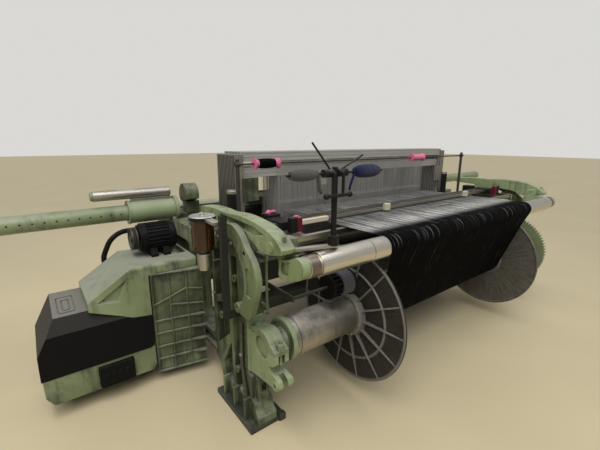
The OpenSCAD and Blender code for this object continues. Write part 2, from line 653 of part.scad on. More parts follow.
module ribbed_cover() color(sage)
    difference() {
        union() {
            box([-cover_right, house_front + 20, panel_low + 40], [-cover_right + 70, 190, panel_top - 10]);
            translate([-cover_right + 10, house_front + panel_rib, 0]) rotate([0, 0, -panel_turn]) {
                panel_box(0, panel_len, panel_low, panel_top, 0, 40);
                panel_box(0, 10, panel_low, panel_top, -panel_rib, 1);
                panel_box(panel_len - 8, panel_len, panel_low, panel_top, -panel_rib, 1);
                panel_box(0, panel_len, panel_top - 8, panel_top, -panel_rib, 1);
                panel_box(0, panel_len, panel_low, panel_low + 8, -panel_rib, 1);
                for (f = [1, 2])
                    panel_box(f * panel_len / 3 - 4, f * panel_len / 3 + 4, panel_low, panel_top,
                        -panel_rib, 1);
                panel_rib_line([[0, 508], [panel_len / 3, 550], [2 * panel_len / 3, 592], [panel_len, 568]]);
                panel_rib_line([[panel_len / 3, 500], [panel_len, 474]]);
                for (z = [406, 324, 235, 152]) {
                    panel_rib_line([[0, z], [panel_len, z]]);
                    panel_fin(z);
                }
                panel_box(0, panel_len, panel_low + 20, panel_top - 10, 39, 240);
            }
        }
        box([-frame_out, -400, 0], [-frame_out + 100, 400, hood_top]);
    }

seam = [[-hood_left, cover_top], [-hood_left + 150, hood_top - 266], [-hood_left + 213, hood_top - 296],
    [-cover_right, hood_top - 310]];
hood_edge = concat([[-hood_left, cover_top + 52], [-hood_left + 233, hood_top + 4],
    [-hood_left + 300, hood_top],
    [-hood_right, hood_top], [-hood_right, panel_top], [-cover_right, panel_top]],
    [for (i = [3:-1:0]) seam[i]]);

module drive_hood() color(sage) difference() {
    intersection() {
        along_y(house_front, house_back) polygon(hood_edge);
        along_x(-hood_left - 1, -hood_right + 1)
            polygon(concat([[house_front, 300], [house_front, hood_top - 26]],
                arc([house_front + 26, hood_top - 22], 26, 180, 90, 5), [[house_back, hood_top + 4],
                [house_back, 300]]));
    }
    along_y(house_front - 1, house_front + 16)
        polygon([[-hood_left + 62, hood_top - 158], [-hood_left + 186, hood_top - 74],
            [-hood_left + 146, hood_top - 172]]);
    along_y(house_front - 1, house_front + 8)
        polygon([[-hood_left + 48, hood_top - 162], [-hood_left + 196, hood_top - 62],
            [-hood_left + 152, hood_top - 180]]);
    box([-hood_right - 70, house_back - 260, hood_top - 34],
        [-hood_right - 16, house_back - 60, hood_top + 9]);
}

module drive_cover() color(black) difference() {
    intersection() {
        along_y(house_front, house_back + 30)
            polygon(concat([[-cover_left, cover_low], [-cover_left + 2, cover_low + 140],
                [-cover_left + 92, cover_top]],
                seam, [[-cover_right, cover_low + 34], [-cover_right - 16, cover_low + 6],
                [-cover_right - 24, cover_low]]));
        along_x(-cover_left - 1, -cover_right + 1)
            polygon([[house_front, 200], [house_front, 486], [house_front + 38, cover_top + 1],
                [house_back + 30, cover_top + 1], [house_back + 30, 200]]);
    }
    for (d = [0, 1])
        translate([-cover_left + 118 + 22 * d, 0, cover_top - 5])
            linear_extrude(6) difference() {
                polygon(rounded(0, -20 + 30 * d, 84 - 44 * d, 220 - 50 * d, 14, 4));
                polygon(rounded(7, -13 + 30 * d, 77 - 44 * d, 213 - 50 * d, 10, 4));
            }
    along_y(house_front + 90, house_front + 250)
        polygon([[-cover_left + 14, cover_low + 180], [-cover_left + 60, cover_low + 266],
            [-cover_left + 64, cover_low + 262],
            [-cover_left + 20, cover_low + 176]]);
}

module drive_base() color(sage) {
    difference() {
        along_y(house_front + 5, house_back)
            polygon([[-cover_left + 6, cover_low], [-cover_left + 8, 150], [-cover_left + 42, 96],
                [-cover_right - 20, 96], [-cover_right, 130], [-cover_right, cover_low]]);
        box([-cover_left + 258, house_front + 4, 100], [-cover_left + 442, house_front + 44, 232]);
    }
    for (x = [-cover_left + 14, -cover_right - 112])
        box([x, house_back - 170, 0], [x + 110, house_back - 30, 97]);
}

module control_box() color([0.2, 0.2, 0.2]) {
    along_y(house_front - 16, house_front + 44)
        polygon(rounded(-cover_left + 260, 104, -cover_left + 440, 230, 10, 4));
    for (k = [0:3])
        box([-cover_left + 285 + 36 * k, house_front - 20, 150],
            [-cover_left + 300 + 36 * k, house_front - 16, 186]);
}

function hose_ring(i, n) = let (p = hose_pts, a = p[max(i - 1, 0)], b = p[min(i + 1, len(p) - 1)],
    t = (b - a) / norm(b - a), u0 = cross([0, 1, 0],
    t), u = norm(u0) < 0.2 ? [1, 0, 0] : u0 / norm(u0), v = cross(t, u))
    [for (k = [0:n - 1]) p[i] + hose_r * (u * cos(360 * k / n) + v * sin(360 * k / n))];

module air_hose() color(black) {
    n = 12;
    m = len(hose_pts);
    pts = [for (i = [0:m - 1]) each hose_ring(i, n)];
    sides = [for (i = [0:m - 2], k = [0:n - 1])
        [i * n + k, i * n + (k + 1) % n, (i + 1) * n + (k + 1) % n, (i + 1) * n + k]];
    ends = [[for (k = [n - 1:-1:0]) k], [for (k = [0:n - 1]) (m - 1) * n + k]];
    polyhedron(pts, concat(sides, ends), convexity = 8);
}

module drive_motor() color([0.12, 0.12, 0.12]) {
    difference() {
        union() {
            rod_x(-motor_left, -motor_right, motor_c, motor_d / 2 - 8);
            rod_x(-motor_left + 14, -motor_left + 40, motor_c, motor_d / 2);
        }
        rod_x(-motor_left - 1, -motor_left + 30, motor_c, 15 + run_fit);
    }
    for (a = [0:15:345])
        if (a < 240 || a > 300)
            translate([0, motor_c[0], motor_c[1]]) rotate([a, 0, 0])
                box([-motor_left + 40, motor_d / 2 - 9, -2], [-motor_right - 40, motor_d / 2, 2]);
    rod_x(-motor_right - 40, -motor_right - 14, motor_c, motor_d / 2);
    for (x = [-motor_left + 50, -motor_right - 90])
        along_x(x, x + 40)
            polygon([[motor_c[0] - 90, hood_top], [motor_c[0] + 90, hood_top],
                [motor_c[0] + 90, hood_top + 14],
                [motor_c[0] + 50, motor_c[1] - 30], [motor_c[0] - 50, motor_c[1] - 30],
                [motor_c[0] - 90, hood_top + 14]]);
    box([gland_x - 8, motor_c[0] + 70, motor_c[1] - 30], [gland_x + 70, motor_c[0] + 172, motor_c[1] + 44]);
    along_y(motor_c[0] + 171, hose_pts[0][1] + 20)
        polygon(rounded(gland_x, motor_c[1] - 20, gland_x + 50, motor_c[1] + 32, 8, 3));
}

module motor_pulley() color(dark_steel) {
    translate([-motor_left - 44, motor_c[0], motor_c[1]]) rotate([0, 90, 0])
        rotate_extrude($fn = 64)
            polygon([[0, 0], [22, 0], [22, 6], [58, 10], [62, 2], [70, 0], [70, 8], [64, 13], [70, 18],
                [64, 23],
                [70, 28], [70, 34], [62, 36], [24, 30], [15, 44], [0, 44]]);
    rod_x(-motor_left - 2, -motor_left + 29, motor_c, 15);
}

module rapier_tube() {
    inner = tube_r - tube_wall;
    difference() {
        rod_x(sleeve_in + 40, tube_far, [rapier_y, rod_z], tube_r, 64);
        rod_x(sleeve_in + 39, tube_far - 12, [rapier_y, rod_z], inner, 64);
        for (x = [sleeve_out + 48:vent_pitch:tube_far - 60])
            translate([x, rapier_y, rod_z + 2]) rotate([90, 0, 0]) cylinder(h = tube_d, r = 5, $fn = 24);
    }
}

module rapier_tubes() color(sage) pair() rapier_tube();

module tube_sleeve() {
    sleeve_r = sleeve_d / 2;
    difference() {
        union() {
            rod_x(sleeve_in, sleeve_out, [rapier_y, rod_z], sleeve_r, 72);
            rod_x(sleeve_out - 10, sleeve_out, [rapier_y, rod_z], sleeve_r + 4, 72);
            rod_x(sleeve_in, sleeve_in + 24, [rapier_y, rod_z], sleeve_r + 12, 72);
            box([sleeve_in + 40, rapier_y - 22, rod_z + sleeve_r - 10],
                [sleeve_out - 30, rapier_y + 22, rod_z + sleeve_r + 10]);
            along_x(frame_out - 22, frame_out)
                polygon([[rapier_y - 62, deck_z], [rapier_y + 58, deck_z], [rapier_y + 50, rod_z - 30],
                    [rapier_y - 50, rod_z - 30]]);
        }
        rod_x(sleeve_in + 39, sleeve_out + 1, [rapier_y, rod_z], tube_r + 0.05, 64);
        rod_x(sleeve_in - 1, sleeve_in + 40, [rapier_y, rod_z], tube_r - tube_wall, 64);
    }
    for (f = [0.3, 0.7])
        translate([sleeve_in + f * (sleeve_out - sleeve_in), rapier_y,
            rod_z + sleeve_r + 9]) cylinder(h = 10, r = 9, $fn = 6);
    rod_x(sleeve_in + 40, sleeve_out + 190, [rapier_y + 4, rod_z + sleeve_r + 48], 32, 40);
    rod_x(sleeve_out + 190, sleeve_out + 204, [rapier_y + 4, rod_z + sleeve_r + 48], 27, 40);
    for (f = [0.25, 0.75])
        box([sleeve_in + f * 300 - 8, rapier_y - 14, rod_z + sleeve_r - 4],
            [sleeve_in + f * 300 + 8, rapier_y + 22, rod_z + sleeve_r + 30]);
}

module tube_sleeves() color(sage) pair() tube_sleeve();

module rapier_housing() difference() {
    union() {
        box([frame_in - 90, rapier_y - 48, rod_z - 40], [frame_in - 0.5, rapier_y + 48, rod_z + 44]);
        along_x(frame_in - 66, frame_in + 24)
            polygon(concat([[rapier_y - 10, rod_z + 40]], arc([rapier_y - 40, rod_z + 96],
                78, -30, 200, 14)));
        box([frame_in - 90, rapier_y - 40, deck_z], [frame_in + 54, rapier_y + 40, rod_z - 39]);
    }
    box([frame_in - 91, rapier_y - rod_w / 2 - 0.4, rod_z - rod_h / 2 - 0.4],
        [frame_in + 200, rapier_y + rod_w / 2 + 0.4, rod_z + rod_h / 2 + 0.4]);
}

module rapier_housings() color(sage) pair() rapier_housing();

module rapier_rod() {
    box([rod_rest, rapier_y - rod_w / 2, rod_z - rod_h / 2],
        [rod_rest + rod_reach, rapier_y + rod_w / 2, rod_z + rod_h / 2]);
    along_y(rapier_y - rod_w / 2 + 2, rapier_y + rod_w / 2 - 2)
        polygon([[rod_rest, rod_z - rod_h / 2], [rod_rest, rod_z + rod_h / 2],
            [rod_rest - rod_head + 30, rod_z + rod_h / 2 - 1],
            [rod_rest - rod_head, rod_z + 2], [rod_rest - rod_head, rod_z - 4],
            [rod_rest - rod_head + 24, rod_z - rod_h / 2]]);
}

module left_rapier_rod() color(steel) mirror([1, 0, 0]) rapier_rod();
module right_rapier_rod() color(steel) rapier_rod();

module sley() color(dark_steel) {
    rod_x(-frame_out + 10, frame_out - 10, sley_axis, sley_shaft_r - run_fit);
    for (x = [-1000, -500, 0, 500, 1000])
        along_x(x - 18, x + 18)
            polygon([[sley_axis[0] - 55, sley_axis[1]], [sley_axis[0] - 30, sley_axis[1] - 50],
                [sley_axis[0] + 30, sley_axis[1] - 50], [sley_axis[0] + 55, sley_axis[1]],
                [reed_y + 36, 872], [reed_y - 26, 872]]);
    along_x(-reed_half - 60, reed_half + 60)
        polygon([[reed_y - 34, 870], [reed_y + 44, 870], [reed_y + 44, 905],
            [reed_y + 4, warp_line - reed_h / 2 + 8],
            [reed_y - 34, warp_line - reed_h / 2 + 8]]);
}

reed_low = warp_line - reed_h / 2 + 8;
module reed() color(steel) difference() {
    union() {
        box([-reed_half, reed_y - 4, reed_low], [reed_half, reed_y, reed_low + reed_h]);
        box([-reed_half, reed_y - 8, reed_low + reed_h - 18], [reed_half, reed_y, reed_low + reed_h]);
        box([-reed_half, reed_y - 8, reed_low], [reed_half, reed_y, reed_low + 18]);
    }
    for (k = [0:reed_gaps - 1])
        let (x = -reed_w / 2 + (k + 0.5) * reed_w / reed_gaps, g = reed_w / reed_gaps * 0.38)
            box([x - g, reed_y - 9, reed_low + 19], [x + g, reed_y + 1, reed_low + reed_h - 19]);
}

module heald_frame(y, z) {
    low = z - heald_h / 2;
    difference() {
        box([-heald_half, y - rail_t / 2, low], [heald_half, y + rail_t / 2, low + heald_h]);
        box([-heald_half + 22, y - rail_t, low + rail_h],
            [heald_half - 22, y + rail_t, low + heald_h - rail_h]);
    }
    for (k = [0:healds - 1])
        let (x = -reed_w / 2 + (k + 0.5) * reed_w / healds)
            box([x - 2.5, y - 0.8, low + rail_h - 0.5], [x + 2.5, y + 0.8, low + heald_h - rail_h + 0.5]);
}

module heald_group(g) color(bright)
    for (j = [0:group_n - 1])
        let (k = g + 4 * j)
            heald_frame(heald_y0 + k * heald_pitch, warp_line + (k % 2 == 0 ? heald_lift : -heald_lift));

module heald_group_1() heald_group(0);
module heald_group_2() heald_group(1);
module heald_group_3() heald_group(2);
module heald_group_4() heald_group(3);

module frame_guides() color([0.14, 0.14, 0.15]) pair() {
    difference() {
        box([heald_half - 16, heald_y0 - 22, warp_line],
            [heald_half + 40, harness_end + 22, warp_line + 385]);
        for (k = [0:heald_frames - 1])
            let (y = heald_y0 + k * heald_pitch)
                box([heald_half - 17, y - rail_t / 2 - 0.6, warp_line - 1],
                    [heald_half + 2, y + rail_t / 2 + 0.6, warp_line + 386]);
    }
    box([heald_half + 4, heald_y0 - 22, warp_line - 30], [heald_half + 40, harness_end + 22, warp_line + 1]);
    box([heald_half + 4, heald_y0 - 10, deck_z], [frame_out - 30, harness_end + 10, deck_z + 40]);
    translate([heald_half + 66, heald_y0 - 20, deck_z]) cylinder(h = 236, r = 36, $fn = 40);
    box([heald_half + 30, heald_y0 - 56, deck_z], [frame_in + 50, heald_y0 + 4, deck_z + 12]);
    box([heald_half - 118, heald_y0 - 30, warp_line + 88], [heald_half - 6, heald_y0 - 22, warp_line + 238]);
}

rail_back_y = -790;
rail_front_y = -470;
module stop_motion() color(steel) {
    for (y = [rail_back_y, rail_front_y])
        box([-frame_in + 74, y - 14, warp_line - 24], [frame_in - 74, y + 14, warp_line + 2]);
    pair() {
        box([frame_in - 92, rail_back_y - 22, warp_line - 44],
            [frame_in - 74, rail_front_y + 24, warp_line + 8]);
        box([frame_in - 76, -640, warp_line - 40], [frame_in, -560, warp_line - 16]);
        for (y = [-640:32:-540])
            box([frame_in - 120, y - 9, warp_line + 4], [frame_in - 74, y + 9, warp_line + 46]);
        box([frame_in - 230, -728, warp_line - 24], [frame_in - 160, -696, warp_line + 80]);
        box([frame_in - 230, rail_back_y, warp_line - 24], [frame_in - 206, -700, warp_line - 4]);
        box([frame_in - 240, rail_front_y - 40, warp_line + 1],
            [frame_in - 160, rail_front_y + 40, warp_line + 62]);
    }
    for (y = [-640:32:-540])
        box([-frame_in + 110, y - 3, warp_line + 22], [frame_in - 110, y + 3, warp_line + 42]);
    box([-frame_in + 246, -668, warp_line + 22], [-reed_w / 2 - 8, -642, warp_line + 46]);
    for (x = [-340, 690])
        box([x, -668, warp_line + 20], [x + 42, -642, warp_line + 62]);
}

sheet_end_z = warp_line + 2;
sheet_t = 1.4;
roller_touch = roller_d / 2 + soft_gap;
leave_a = tangent_deg([beam_y, beam_z], wound_r + soft_gap, [roller_y, roller_z], roller_touch);
sheet_clear_z = min(roller_z - 10, beam_z + 0.43 * flange_d);
sheet_path = concat(
    arc([beam_y, beam_z], wound_r + soft_gap, leave_a + 100, leave_a, 24),
    arc([roller_y, roller_z], roller_touch, leave_a, 90, 20),
    [[harness_back, sheet_end_z]]);

module warp_sheet() color(yarn_black)
    intersection() {
        along_x(-reed_w / 2, reed_w / 2) polygon(ribbon(sheet_path, sheet_t));
        along_y(roller_y - roller_d, 0)
            polygon([[-warp_w / 2 + 1, beam_z - flange_d / 2], [warp_w / 2 - 1, beam_z - flange_d / 2],
                [warp_w / 2 - 1, sheet_clear_z], [reed_w / 2, roller_z], [reed_w / 2, warp_line + 60],
                [-reed_w / 2, warp_line + 60], [-reed_w / 2, roller_z],
                [-warp_w / 2 + 1, sheet_clear_z]]);
    }

function wires_z(y) = roller_z + roller_touch + sheet_t
    + (y - roller_y) / (harness_back - roller_y) * (sheet_end_z + sheet_t - roller_z - roller_touch - sheet_t);

module drop_wires() color(dark_steel)
    for (y = [-624:32:-550])
        box([-reed_w / 2 + 5, y - 5, wires_z(y) + 0.6], [reed_w / 2 - 5, y + 5, warp_line + 44]);

module shed_threads() color(yarn_black)
    for (s = [-1, 1], k = [0:reed_gaps - 1])
        let (x = -reed_w / 2 + (k + 0.5) * reed_w / reed_gaps, w = reed_w / reed_gaps * 0.22,
            y0 = harness_end + rail_t, rise = heald_lift - 2)
            along_x(x - w, x + w)
                polygon([[y0, warp_line + s * rise], [fell_y, warp_line - 0.2 + s * 0.1],
                    [fell_y, warp_line - 0.2 + s * 0.7], [y0, warp_line + s * (rise + 1.6)]]);

breast_c = [breast_y, warp_line - 1 - soft_gap - 40];
breast_touch = 40 + soft_gap;
takeup_touch = takeup_d / 2 + soft_gap;
press_touch = press_d / 2 + soft_gap + web_t;
cloth_touch = cloth_roll_d / 2 + soft_gap + web_t;
front_a = tangent_deg(breast_c, breast_touch, takeup_c, takeup_touch);
press_drop = cloth_c - press_c;
press_a = 270 + atan2(press_drop[1], press_drop[0]) + asin((press_touch - cloth_touch) / norm(press_drop));
web_path = concat([[fell_y, warp_line - 1]], arc(breast_c, breast_touch, 90, front_a, 10),
    arc(takeup_c, takeup_touch, front_a, nip_a, 16), arc(press_c, press_touch, nip_a + 180, press_a, 14),
    arc(cloth_c, cloth_touch, press_a, press_a + 60, 8));

module cloth_web() color([0.1, 0.1, 0.12])
    along_x(-cloth_half, cloth_half) polygon(ribbon(web_path, web_t));

module web_roller(c, r) {
    rod_x(-frame_in + 20, frame_in - 20, c, r, 72);
    rod_x(-frame_out + 4, frame_out - 4, c, roller_shaft_r - run_fit);
}

module takeup_roller() color(dark_steel) web_roller(takeup_c, takeup_d / 2);
module press_roller() color([0.1, 0.1, 0.1]) web_roller(press_c, press_d / 2);
module cloth_roller() color([0.12, 0.12, 0.14]) {
    rod_x(-cloth_half, cloth_half, cloth_c, cloth_roll_d / 2, 96);
    rod_x(-frame_in + 20, frame_in - 20, cloth_c, 46);
    rod_x(-frame_out + 4, frame_out - 4, cloth_c, roller_shaft_r - run_fit);
}

module spool_stand() color(black) {
    flat_to = [stand_x + 14, stand_y - 4];
    translate([0, 0, stand_flat_z - 4]) linear_extrude(9)
        polygon([[-arm_in, -1020], flat_to - [0, 15], flat_to + [6, 15], [-arm_in, -990]]);
    translate([stand_x, stand_y, stand_flat_z + 4]) {
        cylinder(h = 44, r = 24, $fn = 40);
        cylinder(h = 340, r = 12.5, $fn = 32);
    }
    for (s = [-1, 1]) {
        rod_x(stand_x + (s < 0 ? -66 : 14), stand_x + (s < 0 ? -14 : 66), [stand_y, spindle_z], 17, 24);
        rod_x(stand_x + (s < 0 ? -250 : 60), stand_x + (s < 0 ? -60 : 300), [stand_y, spindle_z],
            spindle_r, 24);
        translate([stand_x + s * 26, stand_y - 24, spindle_z - 92]) cylinder(h = 96, r = 7, $fn = 20);
        box([stand_x + s * 26 - 6, stand_y - 26, spindle_z - 6],
            [stand_x + s * 26 + 6, stand_y - 10, spindle_z + 6]);
        translate([stand_x + s * 22, stand_y, spindle_z + 8]) rotate([0, s < 0 ? -42 : 66,
            0]) cylinder(h = 155, r = 4, $fn = 16);
        translate([stand_x + s * 67, stand_y - 24, spindle_z - 92]) sphere(r = 13, $fn = 24);
    }
    rod_x(stand_x - 78, stand_x + 78, [stand_y - 24, spindle_z - 92], 8, 24);
    box([stand_x - 10, stand_y - 26, spindle_z - 100], [stand_x + 10, stand_y, spindle_z - 84]);
}

module stand_spool(x0, x1, r) difference() {
    translate([x0, stand_y, spindle_z]) rotate([0, 90, 0]) rotate_extrude($fn = 40)
        polygon(concat([[spindle_r + run_fit, 0]], smooth([[r * 0.6, 0], [r * 0.95, (x1 - x0) * 0.2],
            [r, (x1 - x0) * 0.5],
            [r * 0.92, (x1 - x0) * 0.8], [r * 0.62, x1 - x0]], 3), [[spindle_r + run_fit, x1 - x0]]));
}

module left_stand_spool() color([0.3, 0.29, 0.27]) stand_spool(stand_x - 236, stand_x - 100, 25);
module right_stand_spool() color([0.08, 0.08, 0.24]) stand_spool(stand_x + 110, stand_x + 280, 30);

module selvedge_spool() color([0.35, 0.34, 0.33]) difference() {
    union() {
        translate([selvedge_x, selvedge_c[0], selvedge_c[1]]) rotate([0, 90, 0]) rotate_extrude($fn = 64)
            polygon([[8 + run_fit, 0], [66, 0], [66, 4], [40, 10], [40, 62], [55, 66], [57, 140],
                [73, 142], [75, 145], [73, 148], [8 + run_fit, 148]]);
        for (k = [0:15])
            translate([selvedge_x, selvedge_c[0], selvedge_c[1]]) rotate([22.5 * k, 0, 0])
                box([0, 36, -2], [60, 64, 2]);
    }
}

module bobbin_rod() color(dark_steel) {
    rod_x(-frame_in + 80, frame_in - 80, [bobbin_y, bobbin_z], rod_r, 24);
    pair() {
        translate([frame_in - 86, bobbin_y, deck_z]) cylinder(h = bobbin_z - deck_z + 30, r = 12, $fn = 32);
        box([frame_in - 100, bobbin_y - 20, deck_z], [frame_in + 40, bobbin_y + 20, deck_z + 12]);
        rod_x(frame_in - 100, frame_in - 72, [bobbin_y, bobbin_z], 16, 32);
    }
    rod_x(-frame_in + 30, selvedge_x + 154, selvedge_c, 8, 32);
    box([-frame_in + 30, selvedge_c[0] - 14, selvedge_c[1] - 14], [-frame_in + 40, -636, selvedge_c[1] + 14]);
    box([-frame_in, -664, selvedge_c[1] - 14], [-frame_in + 40, -636, selvedge_c[1] + 14]);
}

module rod_bobbin(x0, x1, r) translate([x0, bobbin_y, bobbin_z]) rotate([0, 90, 0]) rotate_extrude($fn = 40)
    polygon([[rod_r + run_fit, 0], [r + 5, 0], [r + 5, 8], [r, 14], [r + 2, (x1 - x0) / 2], [r, x1 - x0 - 14],
        [r + 5, x1 - x0 - 8], [r + 5, x1 - x0], [rod_r + run_fit, x1 - x0]]);

module left_bobbin() color([0.75, 0.45, 0.55]) rod_bobbin(bobbin_x, bobbin_x + 172, 28);
module right_bobbin() color([0.85, 0.5, 0.65]) rod_bobbin(412, 580, 28);

left_side_frame();
right_side_frame();
floor_plates();
cross_beams();
breast_beam();
beam_brackets();
left_bearing_cap();
right_bearing_cap();
backrest_arms();
curved_brackets();
left_roller_bracket();
right_roller_bracket();
whip_roller();
beam_barrel();
left_beam_flange();
right_beam_flange();
beam_coupling();
beam_gear();
warp_winding();
letoff_housing();
letoff_pinion();
steel_column();
oil_bowl();
oil_lid();
oil_cup();
ribbed_cover();
drive_hood();
drive_cover();
drive_base();
control_box();
air_hose();
drive_motor();
motor_pulley();
rapier_tubes();
tube_sleeves();
rapier_housings();
left_rapier_rod();
right_rapier_rod();
sley();
reed();
heald_group_1();
heald_group_2();
heald_group_3();
heald_group_4();
frame_guides();
stop_motion();
drop_wires();
warp_sheet();
shed_threads();
cloth_web();
takeup_roller();
press_roller();
cloth_roller();
spool_stand();
left_stand_spool();
right_stand_spool();
selvedge_spool();
bobbin_rod();
left_bobbin();
right_bobbin();
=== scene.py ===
"""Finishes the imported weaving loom: castings, steel, warp, cloth, healds, spools, hose, floor, light and
camera."""

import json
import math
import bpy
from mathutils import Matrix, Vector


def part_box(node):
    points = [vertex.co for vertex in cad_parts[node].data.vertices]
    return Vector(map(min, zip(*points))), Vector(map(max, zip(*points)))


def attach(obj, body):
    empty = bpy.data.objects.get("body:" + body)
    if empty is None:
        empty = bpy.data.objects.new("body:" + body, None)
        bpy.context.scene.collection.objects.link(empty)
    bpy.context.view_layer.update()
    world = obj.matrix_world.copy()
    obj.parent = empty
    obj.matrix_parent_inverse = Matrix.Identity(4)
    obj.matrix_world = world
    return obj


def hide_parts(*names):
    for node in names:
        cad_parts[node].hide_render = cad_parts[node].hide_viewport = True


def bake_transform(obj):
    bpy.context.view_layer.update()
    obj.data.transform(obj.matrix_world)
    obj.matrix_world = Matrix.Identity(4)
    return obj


bl_info = {
    "name": "Weaving loom finish",
    "version": (1, 0, 0),
    "blender": (4, 5, 0),
    "location": "View3D > Sidebar > Loom",
    "description": "Dresses the packed loom in paint, steel, yarn and cloth",
    "category": "Object",
}

import bmesh
import bpy
import numpy as np
from bpy.props import FloatProperty, FloatVectorProperty, IntProperty, PointerProperty
from mathutils import Matrix

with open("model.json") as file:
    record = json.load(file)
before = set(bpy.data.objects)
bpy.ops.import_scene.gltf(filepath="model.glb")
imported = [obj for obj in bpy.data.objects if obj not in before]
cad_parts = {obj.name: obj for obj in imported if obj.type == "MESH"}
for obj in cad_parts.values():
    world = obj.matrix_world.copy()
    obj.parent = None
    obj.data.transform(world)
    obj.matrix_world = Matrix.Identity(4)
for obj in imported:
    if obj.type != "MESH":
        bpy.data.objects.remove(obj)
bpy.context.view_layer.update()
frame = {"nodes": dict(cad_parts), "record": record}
RECORD = frame["record"]
BODY_OF = {node: body for body, nodes in RECORD["behaviour"]["bodies"].items() for node in nodes}
SLOT_OF = {part["node"]: part["material_slot"] for part in RECORD["subparts"]}
MACHINE = "machine"
FULL_TURN = 2 * math.pi


def span(node):
    """The lowest and highest corner of a CAD node as arrays."""
    low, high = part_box(node)
    return np.array(low), np.array(high)


def round_of(node):
    """The axis (y, z) and the radius of a round CAD node that lies along X."""
    low, high = span(node)
    return (low + high)[1:] / 2, (high[2] - low[2]) / 2


BEAM_Y, BEAM_Z = round_of("beam_barrel")[0]
WOUND_R = round_of("warp_winding")[1]
WARP_HALF = span("warp_winding")[1][0]
(ROLLER_Y, ROLLER_Z), ROLLER_R = round_of("whip_roller")
THREADS_LOW, THREADS_HIGH = span("shed_threads")
WARP_LINE = (THREADS_LOW[2] + THREADS_HIGH[2]) / 2
HARNESS_FRONT, FELL_Y = THREADS_LOW[1], THREADS_HIGH[1]
REED_HALF, HARNESS_BACK = span("warp_sheet")[1][:2]
DISC_R = round_of("left_beam_flange")[1]
SOFT_THICK = 0.0006
FRAME_HALF = 0.0045
RAIL_HIGH = 0.062


def colour_property(name, description, value):
    return FloatVectorProperty(name=name, description=description, default=value, subtype="COLOR", size=3,
                               min=0.0, max=1.0)


def length_property(name, description, value, low, high):
    return FloatProperty(name=name, description=description, default=value, subtype="DISTANCE", unit="LENGTH",
                         min=low, max=high)


class LoomColours(bpy.types.PropertyGroup):
    sage: colour_property("Sage paint", "Green enamel of the castings and covers", (0.165, 0.205, 0.100))
    sage_worn: colour_property("Worn sage paint", "Paler green of polished paint", (0.33, 0.39, 0.24))
    foot: colour_property("Foot paint", "Dark oily paint of feet and cross beams", (0.026, 0.028, 0.021))
    cover: colour_property("Cover", "Black drive cover", (0.0075, 0.0075, 0.0078))
    lint: colour_property("Lint", "Grey fibre dust that lies on upward faces", (0.24, 0.23, 0.20))
    # This colour is also the painted shade in corners, through the Grime mask.
    grease: colour_property("Grease", "Dark film in corners and on old steel", (0.016, 0.014, 0.010))
    steel: colour_property("Bright steel", "Ground steel of rollers, rods and rails", (0.60, 0.57, 0.51))
    dull_steel: colour_property("Dull steel", "Barrel and flange steel", (0.25, 0.235, 0.205))
    amber: colour_property("Oil bowl", "Amber oil bowl", (0.072, 0.028, 0.005))
    warp: colour_property("Warp yarn", "Black warp", (0.0022, 0.0022, 0.0025))
    cloth: colour_property("Cloth", "Dark woven cloth", (0.010, 0.010, 0.013))
    grey_yarn: colour_property("Grey yarn", "Yarn of the grey spool", (0.085, 0.082, 0.078))
    navy_yarn: colour_property("Navy yarn", "Yarn of the navy spool", (0.004, 0.006, 0.058))
    pink_yarn: colour_property("Pink yarn", "Yarn on the bobbin rod", (0.80, 0.20, 0.36))
    heald: colour_property("Heald frames", "Satin alloy of the heald frames and healds", (0.40, 0.39, 0.365))
    maroon: colour_property("Maroon", "Maroon blocks of the stop motion", (0.125, 0.008, 0.020))
    cream: colour_property("Cream", "Cream boxes and the beige bar", (0.52, 0.47, 0.36))
    floor: colour_property("Floor", "Pale sealed floor", (0.53, 0.455, 0.292))


class LoomSizes(bpy.types.PropertyGroup):
    casting_round: length_property("Casting edge", "Rounding of cast edges", 0.006, 0.0005, 0.02)
    sheet_round: length_property("Sheet edge", "Rounding of pressed covers", 0.008, 0.0005, 0.02)
    heald_pitch: length_property("Heald pitch", "Spacing of the thin healds on a frame", 0.0085, 0.003, 0.04)
    dent_pitch: length_property("Dent pitch", "Spacing of the dents in the reed", 0.004, 0.002, 0.02)
    wire_pitch: length_property("Drop wire pitch", "Spacing of the drop wires in a row", 0.0062, 0.003, 0.02)
    hose_ribs: IntProperty(name="Hose ribs", description="Number of corrugations", default=52, min=10, max=90)


def colours():
    return bpy.context.scene.loom_colours


def sizes():
    return bpy.context.scene.loom_sizes


# Surfaces: a shape is a pair of points and faces


def link(name, mesh, finish, smooth=True):
    """A new object at the origin, unturned, with its place in its mesh."""
    piece = bpy.data.objects.new(name, mesh)
    bpy.context.scene.collection.objects.link(piece)
    mesh.materials.clear()
    mesh.materials.append(finish)
    if smooth:
        mesh.shade_smooth()
    return piece


def solid(name, shape, finish, uv=None, smooth=False, hard=None):
    """A shape in the named finish. uv has one pair for each point. Edges sharper than hard degrees stay
    sharp."""
    points, faces = shape
    mesh = bpy.data.meshes.new(name)
    mesh.from_pydata(np.asarray(points).reshape(-1, 3), [], np.asarray(faces).tolist())
    if uv is not None:
        layer = mesh.uv_layers.new(name="UVMap")
        corner = np.zeros(len(mesh.loops), dtype=np.int32)
        mesh.loops.foreach_get("vertex_index", corner)
        layer.data.foreach_set("uv", np.asarray(uv, dtype=np.float32).reshape(-1, 2)[corner].ravel())
    mesh.update()
    piece = link(name, mesh, FINISH[finish], smooth)
    if hard is not None:
        mesh.set_sharp_from_angle(angle=math.radians(hard))
    return piece


def grid_faces(rows, columns, round_columns=False):
    """Quads of a grid whose point (i, j) has the index i * columns + j. Round columns close the grid to a
    tube."""
    i = np.arange(rows - 1)
    j = np.arange(columns if round_columns else columns - 1)
    i, j = (a.ravel() for a in np.meshgrid(i, j, indexing="ij"))
    m = (j + 1) % columns
    return np.stack([i * columns + j, (i + 1) * columns + j, (i + 1) * columns + m, i * columns + m], axis=1)


